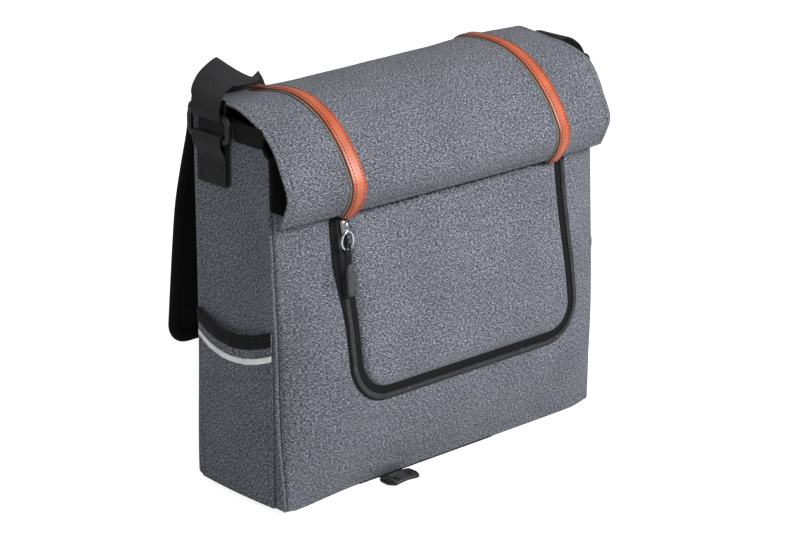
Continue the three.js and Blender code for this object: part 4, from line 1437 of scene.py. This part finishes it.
def back_seam_tape():
    """The ribbon that covers the seam of both flaps along the top of the back."""
    x = np.linspace(-188, 188, 95)
    section = [(58.3, 321.5), (58.9, 323), (59.4, 328), (59.5, 333), (59.0, 336.5), (57.9, 338.0)]
    outer = np.array([[(a, y, z) for a in x[::-1]] for y, z in section])
    inner = outer - (0, 0.9, 0.2)
    Mesh().slab(outer, inner).make("back_seam_tape", [ELASTIC], "body", "black_fabric")
    mesh = Mesh()
    for z, y in ((324.3, 59.1), (333.6, 59.5)):
        mesh.stitches(xyz(x, y, z), alike(BACKWARD, len(x)), *SEAM_STITCH)
    mesh.make("back_seam_stitches", [BLACK_THREAD], "body", "black_fabric")


# ---- Gussets' fittings ------------------------------------------------------------------------


def side_pocket_out(y, z):
    """How far the filled side pocket stands out from the gusset."""
    spread = np.maximum(1 - (y / (SIDE_POCKET_HALF + 1)) ** 2, 0)
    fill = 0.35 + 0.65 * np.minimum(1, z / SIDE_POCKET_TOP)
    return 0.6 + 5 * spread * fill


def dip(y):
    """The height of the side pocket's mouth, which sags in the middle."""
    return SIDE_POCKET_TOP - 4 + 10 * (y / SIDE_POCKET_HALF) ** 2


def pocket_ruffle(y, z):
    """Gathers of the cloth under its elastic, dying away downwards."""
    near = np.exp(-np.maximum(dip(y) - BINDING_HEIGHT - z, 0) / 22)
    calm = rise(SIDE_POCKET_HALF - np.abs(y), 8)
    place = xyz(y, z * 0.35, 3.0)
    return near * calm * waves(place, 7, 4.4)


def side_band(side, low, high, rows, off, thick, bow=0.0):
    """Both faces of a band of a side pocket between two heights, functions of the place across."""
    y = np.linspace(-SIDE_POCKET_FRONT, SIDE_POCKET_HALF, 60)
    if side < 0:
        y = y[::-1]
    heights = [low(y) + (high(y) - low(y)) * share for share in np.linspace(0, 1, rows)]

    def face(extra):
        made = []
        for k, z in enumerate(heights):
            arch = bow * (1 - (2 * k / (rows - 1) - 1) ** 2) if extra else 0
            x = side * (HALF_W + side_pocket_out(y, z) + off + extra + arch + pocket_ruffle(y, z))
            made.append(xyz(x, y, z))
        return np.array(made)

    return face(thick), face(0.0)


def below_mouth(drop):
    """A line across the side pocket that far below its mouth."""
    return lambda y: dip(y) - drop


def side_pocket(side, name):
    """The pocket's cloth, its elastic binding, the reflective stripe and their stitches."""
    faces = side_band(side, lambda y: 4 + 0 * y, below_mouth(0.8), 56, 0.0, 1.2)
    cloth = Mesh().slab(*faces, (0, 1, 0))
    node = f"side_pocket_{name}"
    pocket = cloth.make(f"side_pocket_cloth_{name}", [CANVAS, LINING], "body", "canvas", [node])
    binding = Mesh().slab(*side_band(side, below_mouth(BINDING_HEIGHT), dip, 12, OVER_CLOTH, 1.0, bow=0.5))
    node = f"side_pocket_binding_{name}"
    binding.make(f"pocket_elastic_{name}", [ELASTIC], "body", "black_fabric", [node])
    top = BINDING_HEIGHT + STRIPE_DROP
    stripe = side_band(side, below_mouth(top + STRIPE_HEIGHT), below_mouth(top), 4, OVER_CLOTH, 0.45)
    node = f"side_reflector_{name}"
    Mesh().slab(*stripe).make(f"reflective_stripe_{name}", [REFLECTOR], "body", "reflector", [node])
    threads = Mesh()
    y = np.linspace(-SIDE_POCKET_HALF + 2, SIDE_POCKET_HALF - 2, 80)
    out = alike((side * 1.0, 0, 0), len(y))
    for drop in (2.2, BINDING_HEIGHT - 2.0):
        z = dip(y) - drop
        x = side * (HALF_W + side_pocket_out(y, z) + 2.55 + pocket_ruffle(y, z))
        threads.stitches(xyz(x, y, z), out, *POCKET_STITCH)
    z = np.linspace(8, 136, 90)
    out = alike((side * 1.0, 0, 0), len(z))
    for end in (-1, 1):
        across = np.full(len(z), end * (SIDE_POCKET_HALF - 2.5))
        x = side * (HALF_W + side_pocket_out(across, z) + 1.25)
        threads.stitches(xyz(x, across, z), out, *HEM_STITCH, slot=1)
    threads.make(f"side_pocket_stitches_{name}", [BLACK_THREAD, GREY_THREAD], "body", "black_fabric")


def strap_ring(side, name):
    """A moulded rectangular ring with a flattened section."""
    flat = rounded_rectangle(RING_SIZE[0] / 2, RING_SIZE[1] / 2, 6.0, 7)
    centre = np.array([side * RING_X, RING_Y, RING_Z[name]])
    loop = centre + np.column_stack([np.zeros(len(flat)), flat])
    turn = np.linspace(0, 2 * math.pi, 16, endpoint=False)
    ahead = unit(np.roll(loop, -1, axis=0) - np.roll(loop, 1, axis=0))
    outward = unit(np.cross(ahead, (1, 0, 0)))
    power = 0.6
    a = RING_BAR * np.sign(np.cos(turn)) * np.abs(np.cos(turn)) ** power
    b = RING_BAR * 0.92 * np.sign(np.sin(turn)) * np.abs(np.sin(turn)) ** power
    rings = loop[:, None] + outward[:, None] * a[None, :, None] + np.array([1.0, 0, 0]) * b[None, :, None]
    mesh = Mesh()
    index = mesh.add(rings)
    index, grid = (with_first(np.vstack([around, around[:1]])) for around in (index, rings))
    mesh.quads(index, grid_uv(grid))
    mesh.make(f"plastic_ring_{name}", [PLASTIC], "body", "plastic", [f"strap_ring_{name}"])


def fold_round(side, bar_z, upwards, inner_end, outer_path):
    """Webbing round a ring's bar: along the inner layer, round the bar, back along the outer one."""
    turn = RING_BAR + 0.3 + WEB_THICK / 2
    sign = 1 if upwards else -1
    inner = HALF_W + 1.1
    path = [(side * inner, RING_Y, inner_end), (side * inner, RING_Y, bar_z - sign * 6)]
    for angle in np.linspace(math.pi, 0, 9):
        x, z = RING_X - turn * math.cos(math.pi - angle), bar_z + sign * turn * math.sin(angle)
        path.append((side * x, RING_Y, z))
    return np.array(path + list(outer_path), float)


def anchor(side, name):
    """The webbing patch that holds the ring, box-stitched to the gusset."""
    low_bar = RING_Z[name] - RING_SIZE[1] / 2
    falling = (
        (RING_X + 3.0, low_bar - 6), (HALF_W + 3.4, low_bar - 14),
        (HALF_W + 3.0, low_bar - 20), (HALF_W + 3.0, ANCHOR_LOW),
    )
    outer_path = [(side * x, RING_Y, z) for x, z in falling]
    path = smooth_line(fold_round(side, low_bar, True, ANCHOR_LOW, outer_path), 400, 90)
    mesh = Mesh().slab(*webbing(path, alike(BACKWARD, len(path))))
    x, across = side * (HALF_W + 0.15), np.linspace(-21, 21, 24)
    patch = np.array([[(x, RING_Y + side * a, z) for a in across] for z in (ANCHOR_LOW + 2, SIDE_TOP - 1.5)])
    mesh.slab(patch, patch - (side * 1.6, 0, 0))
    mesh.make(f"ring_anchor_{name}", [WEB], "body", "webbing", [f"strap_anchor_{name}"])
    threads = Mesh()
    x = side * (HALF_W + 3.0 + WEB_THICK / 2)
    corners = [(-15, 4), (15, 4), (15, 19), (-15, 19), (-15, 4)]
    box = np.array([(x, RING_Y + a, ANCHOR_LOW + b) for a, b in corners])
    cross = [np.array([box[0], box[2]]), np.array([box[1], box[3]])]
    for line in [box, *cross]:
        fine = evenly(line, 60)
        threads.stitches(fine, alike((side * 1.0, 0, 0), len(fine)), *BOX_STITCH)
    threads.make(f"anchor_stitches_{name}", [BLACK_THREAD], "body", "webbing")


def gusset_tab(side, name):
    """A rounded pull tab, padded a little, with a stitched edge."""
    flat = rounded_rectangle(19.5, 8.5, 5, 8)

    def place(a, b, c):
        return (side * (HALF_W + 0.3 + c), -25 + a * side, 327.5 + b)

    mesh = Mesh()
    levels = [(0.5, 0.0), (0.0, 0.3), (0.0, 1.2), (0.6, 1.75), (1.8, 1.6), (2.6, 1.85), (5.5, 2.0)]
    add_plate(mesh, dome_plate(flat, levels), place)
    mesh.make(f"tab_pad_{name}", [BLACK], "body", "black_fabric", [f"gusset_tab_{name}"])
    threads = Mesh()
    line = dome_plate(flat, [(1.9, 1.7)])[0]
    path = np.array([place(*p) for p in np.vstack([line, line[:1]])])
    fine = evenly(path, 80)
    threads.stitches(fine, alike((side * 1.0, 0, 0), len(fine)), *TAB_STITCH)
    threads.make(f"tab_stitches_{name}", [BLACK_THREAD], "body", "black_fabric")


# ---- Shoulder strap ---------------------------------------------------------------------------


def strap_end(side, keys, count):
    """Places and directions across the band, from inside a ring, round its bar and along the route."""
    high_bar = RING_Z["left" if side < 0 else "right"] + RING_SIZE[1] / 2
    before = fold_round(side, high_bar, False, high_bar + 14, [])
    places = spline([k[0] for k in keys], np.linspace(0, 1, count + 1))
    across = spline([k[1] for k in keys], np.linspace(0, 1, count + 1))
    path = np.vstack([before, places])
    sides = np.vstack([np.tile(across[0], (len(before), 1)), across])
    both = evenly(np.hstack([path, sides * 0.001]), count + 20)
    return both[:, :3], unit(both[:, 3:])


def soften(path, width):
    """Rounds the corners of a route by averaging each place with its neighbours."""
    for _ in range(width):
        path[1:-1] = (path[:-2] + 2 * path[1:-1] + path[2:]) / 4
    return path


STRAP_ENDS = (
    (-1, "left", LEFT_END, 110, bend_strap_left),
    (1, "right", RIGHT_END, 120, bend_strap_right),
)


def strap_ends():
    """The two ends of the strap, which lie on the flap."""
    for side, name, keys, count, bend in STRAP_ENDS:
        path, sides = strap_end(side, keys, count)
        strap = Mesh().slab(*webbing(soften(path, 2), sides))
        bend(strap.make(f"strap_{name}", [WEB], None, "webbing", [f"strap_end_{name}"]))


REAR_LINE = smooth_line(REAR_PROFILE, 200, 120)


def rear_y(z):
    """How far back the rear flap hangs at a height."""
    return np.interp(z, REAR_LINE[::-1, 1], REAR_LINE[::-1, 0])


def strap_loop():
    """The middle of the strap, which lies on the rear flap."""
    route = smooth_line(LOOP_ROUTE, 400, 210)
    x, z = route.T
    path = xyz(x, rear_y(z) + LOOP_LIFT, z)
    along = unit(np.gradient(path, axis=0))
    sides = unit(np.cross(along, BACKWARD))
    slope = (rear_y(z + 12) - rear_y(z - 12)) / 24
    sides[:, 1] = sides[:, 2] * slope
    loop = Mesh().slab(*webbing(path, sides))
    bend_rear_flap(loop.make("strap_middle", [WEB], None, "webbing", ["strap_loop"]))


REAR_EDGE_TOP = 322
# Sections of the flap's edging: inwards from the flap's edge and back from its profile line.
EDGING_OUTER = [
    (9, 0.15), (8.6, 0.75), (1.2, 0.7), (0, -0.2), (-0.4, -1.2),
    (0, -2.2), (1.2, -2.9), (8.6, -2.75), (9, -2.3),
]
EDGING_INNER = [
    (9, 0.05), (8, 0.05), (2, 0.0), (1.2, -0.5), (1.0, -1.2),
    (1.2, -1.8), (2, -2.15), (8, -2.2), (9, -2.2),
]


def rear_face(off):
    """One face of the rear flap, that far back from its profile line."""
    rows = []
    for z in rounded_heights(REAR_LOW, REAR_CORNER, 330.5, 14, 50):
        half = rounded_half(z, REAR_LOW, REAR_CORNER, REAR_HALF - 0.8)
        x = np.linspace(half, -half, 77)
        place = xyz(x, 0.0, z)
        calm = min(1, (330 - z) / 60) * min(1, max(0, z - REAR_LOW) / 12)
        swell = calm * (0.9 * waves(place, 48, 31.5) + 0.35 * waves(place, 18, 9.1) - 0.5)
        rows.append(xyz(x, rear_y(z) + off + swell, z))
    return np.array(rows)


def rear_edge():
    """The rear flap's side and bottom edges, and the direction inwards at each place."""
    half, corner, level = REAR_HALF, REAR_CORNER, REAR_LOW + REAR_CORNER
    turn = np.linspace(0, math.pi / 2, 14)
    points = [(half, z) for z in np.linspace(REAR_EDGE_TOP, level, 30)[:-1]]
    points += [(half - corner + corner * math.cos(a), level - corner * math.sin(a)) for a in turn]
    points += [(-half + corner - corner * math.sin(a), level - corner * math.cos(a)) for a in turn]
    points += [(-half, z) for z in np.linspace(level, REAR_EDGE_TOP, 30)[1:]]
    line = evenly(points, 300)
    inward = unit(np.column_stack([-np.gradient(line[:, 1]), np.gradient(line[:, 0])]))
    inward *= np.sign(np.sum(inward * ((0.0, 230.0) - line), axis=1, keepdims=True))
    return line, inward


def rear_flap():
    """The black cover flap behind the bag: one hanging sheet with a bound edge."""
    cover = Mesh().slab(rear_face(-0.3), rear_face(-2.0))
    flap = cover.make("rear_cover", [BLACK], None, "black_fabric", ["rear_cover_flap"])
    bend_rear_flap(flap)

    line, inward = rear_edge()

    def along_edge(reach, out):
        x, z = (line + inward * reach).T
        return xyz(x, rear_y(z) + out, z)

    faces = [np.array([along_edge(*p) for p in section])[::-1] for section in (EDGING_OUTER, EDGING_INNER)]
    binding = Mesh().slab(*faces)
    bend_rear_flap(binding.make("rear_flap_binding", [ELASTIC], None, "black_fabric", ["rear_flap_edging"]))
    threads = Mesh().stitches(along_edge(7.2, 0.75), alike(BACKWARD, len(line)), *SEAM_STITCH)
    bend_rear_flap(threads.make("rear_flap_stitches", [BLACK_THREAD], None, "black_fabric"))


FOLD_STITCH_STEPS = (26, 28)  # steps along the strap's end where a row of stitches crosses it


def strap_stitches():
    """Rows of stitching that close the strap's fold round each ring."""
    for side, name, keys, _, bend in STRAP_ENDS:
        mesh = Mesh()
        path, sides = strap_end(side, keys, 110)
        side_way, normal = band_frame(path, sides)
        for k in FOLD_STITCH_STEPS:
            line = np.array([path[k] + side_way[k] * s for s in np.linspace(-17, 17, 40)])
            for face in (-1, 1):
                lifted = line + normal[k] * face * WEB_THICK / 2
                mesh.stitches(lifted, alike(normal[k] * face, len(line)), *FOLD_STITCH)
        bend(mesh.make(f"strap_fold_stitches_{name}", [BLACK_THREAD], None, "webbing"))


# ---- Hard parts that keep their own shape ------------------------------------------------------


def finish_node(name, look, bevel):
    """Rounds the edges of a moulded part and gives it its material."""
    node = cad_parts[name]
    node.data.materials.clear()
    node.data.materials.append(look)
    rounding = node.modifiers.new("rounding", "BEVEL")
    rounding.width = bevel * MM
    rounding.segments = 3
    rounding.limit_method = "ANGLE"
    rounding.angle_limit = math.radians(35)


def bottom_fittings():
    """The buckle under the front edge, its webbing tab and the webbing run along the base seam."""
    low, high = (np.array(c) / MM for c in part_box("bottom_buckle"))
    x, level = (low[0] + high[0]) / 2, 2.7
    near, far = low[1] + 3.5, high[1] - 1.5
    corners = [
        (-13, near), (13, near), (16.5, near + 6), (16, far),
        (-16, far), (-16.5, near + 6), (-13, near),
    ]
    loop = evenly([(x + a, y, level) for a, y in corners], 72)[:-1]
    loop[:, 2] += 0.9 * np.cos((loop[:, 0] - x) / 7)
    buckle = Mesh().tube(loop, 1.9, sides=12, closed=True, square=(0, 0, 1))
    for share, radius in ((0.2, 1.5), (0.47, 1.3), (0.76, 1.3)):
        y = near + (far - near) * share
        path = [(x + a, y, level + 0.6 + 0.7 * math.cos(a / 8)) for a in np.linspace(-15, 15, 15)]
        buckle.tube(path, radius, sides=10, square=(0, 1, 0))
    for a in (-8, 8):
        path = [(x + a, y, level + 1.2) for y in np.linspace(near - 1.5, near + 9, 8)]
        buckle.tube(path, [0.8, 1.3, 1.6, 1.7, 1.7, 1.6, 1.3, 0.8], sides=10)
    buckle.make("base_buckle", [PLASTIC], "body", "plastic", ["bottom_buckle"])
    tab_keys = ((-52, 1.4), (-56, 1.5), (-60, 2.4), (-64, 3.6), (-68, 3.9))
    path = smooth_line([(x, y, z) for y, z in tab_keys], 60, 40)
    tab = Mesh().slab(*webbing(path, alike((1.0, 0, 0), len(path)), 26, 1.3, 12))
    tab.make("buckle_webbing", [WEB], "body", "webbing", ["bottom_tab"])
    run_x = np.linspace(-98, 62, 90)
    run = xyz(run_x, front_y(run_x, 2.2) + 1.0, 1.5)
    Mesh().tube(run, 1.0, sides=10, square=(0, 0, 1)).make("base_piping", [BLACK], "body", "black_fabric")


# ---- Stage ------------------------------------------------------------------------------------


# The camera that was fitted to the photo.
CAMERA_LENS = 112.3
CAMERA_TARGET = (-0.00102, 0, 0.16543)
CAMERA_AZIMUTH = -42.256
CAMERA_ELEVATION = 18.70
CAMERA_DISTANCE = 2.2262
LIGHT_TARGET = (0, 0, 0.17)
LIGHTS = (  # name, azimuth and elevation in degrees, distance and size in metres, power in watts
    ("key", 18, 34, 2.3, 1.3, 61),
    ("top", 0, 80, 2.2, 1.8, 2),
    ("back", 195, 30, 2.6, 1.6, 12),
    ("fill", -75, 25, 2.6, 1.6, 6),
)
FLOOR_REACH = 9000
FLOOR_LEVEL = -0.6


def aim(name, data, target, azimuth, elevation, distance):
    """An object that looks at a target. Azimuth 0 stands in front of the bag and 90 to its right."""
    obj = bpy.data.objects.new(name, data)
    a, e = math.radians(azimuth), math.radians(elevation)
    away = Vector((math.sin(a) * math.cos(e), -math.cos(a) * math.cos(e), math.sin(e)))
    obj.location = Vector(target) + away * distance
    obj.rotation_euler = (-away).to_track_quat("-Z", "Y").to_euler()
    bpy.context.scene.collection.objects.link(obj)
    return obj


def camera():
    """The view of the photo."""
    data = bpy.data.cameras.new("camera")
    data.lens = CAMERA_LENS
    data.sensor_width = 36
    data.clip_end = 30
    placed = aim("camera", data, CAMERA_TARGET, CAMERA_AZIMUTH, CAMERA_ELEVATION, CAMERA_DISTANCE)
    bpy.context.scene.camera = placed


def area_light(name, azimuth, elevation, distance, size, power):
    """A round soft box that looks at the bag."""
    data = bpy.data.lights.new(name, "AREA")
    data.shape = "DISK"
    data.size = size
    data.energy = power
    aim(name, data, LIGHT_TARGET, azimuth, elevation, distance)


def studio():
    """Soft lights, a dim white world that the camera sees as plain white, and a pale floor."""
    world = bpy.data.worlds.new("studio")
    world.use_nodes = True
    tree = world.node_tree
    background = tree.nodes["Background"]
    background.inputs["Color"].default_value = (1, 1, 1, 1)
    paths = tree.nodes.new("ShaderNodeLightPath")
    strength = tree.nodes.new("ShaderNodeMix")
    strength.data_type = "FLOAT"
    tree.links.new(paths.outputs["Is Camera Ray"], strength.inputs["Factor"])
    strength.inputs["A"].default_value = 0.25
    strength.inputs["B"].default_value = 1.0
    tree.links.new(strength.outputs[0], background.inputs["Strength"])
    bpy.context.scene.world = world
    for light in LIGHTS:
        area_light(*light)
    floor = Mesh()
    reach = (-FLOOR_REACH, FLOOR_REACH)
    floor.grid(np.array([[(x, y, FLOOR_LEVEL) for x in reach] for y in reach]))
    look = Look("pale_floor", roughness=0.8, base_color=(0.6, 0.6, 0.6, 1), specular_ior_level=0.1)
    look.shader.inputs["Emission Color"].default_value = (1, 1, 1, 1)
    seen = look.node("LightPath").outputs["Is Camera Ray"]
    look.put(look.shader.inputs["Emission Strength"], look.math("MULTIPLY_ADD", seen, 0.75, 0.1))
    floor.make("floor", [look.material])
    view = bpy.context.scene.view_settings
    view.view_transform = "Standard"
    view.look = "None"


# ---- The bag ----------------------------------------------------------------------------------

camera()
studio()
body_shell()
rim_binding()
inner_lining()
sleeve_divider()
pocket_lid()
zip_fastener()
zip_slider()
zip_pull()
main_flap()
strips()
back_seam_tape()
for SIDE in SIDES:
    side_pocket(*SIDE)
    strap_ring(*SIDE)
    anchor(*SIDE)
    gusset_tab(*SIDE)
strap_ends()
strap_loop()
rear_flap()
strap_stitches()
finish_node("strap_adjuster", PLASTIC, 0.7)
bottom_fittings()
finish_node("back_board", BOARD, 0.4)
finish_node("base_board", BOARD, 0.4)
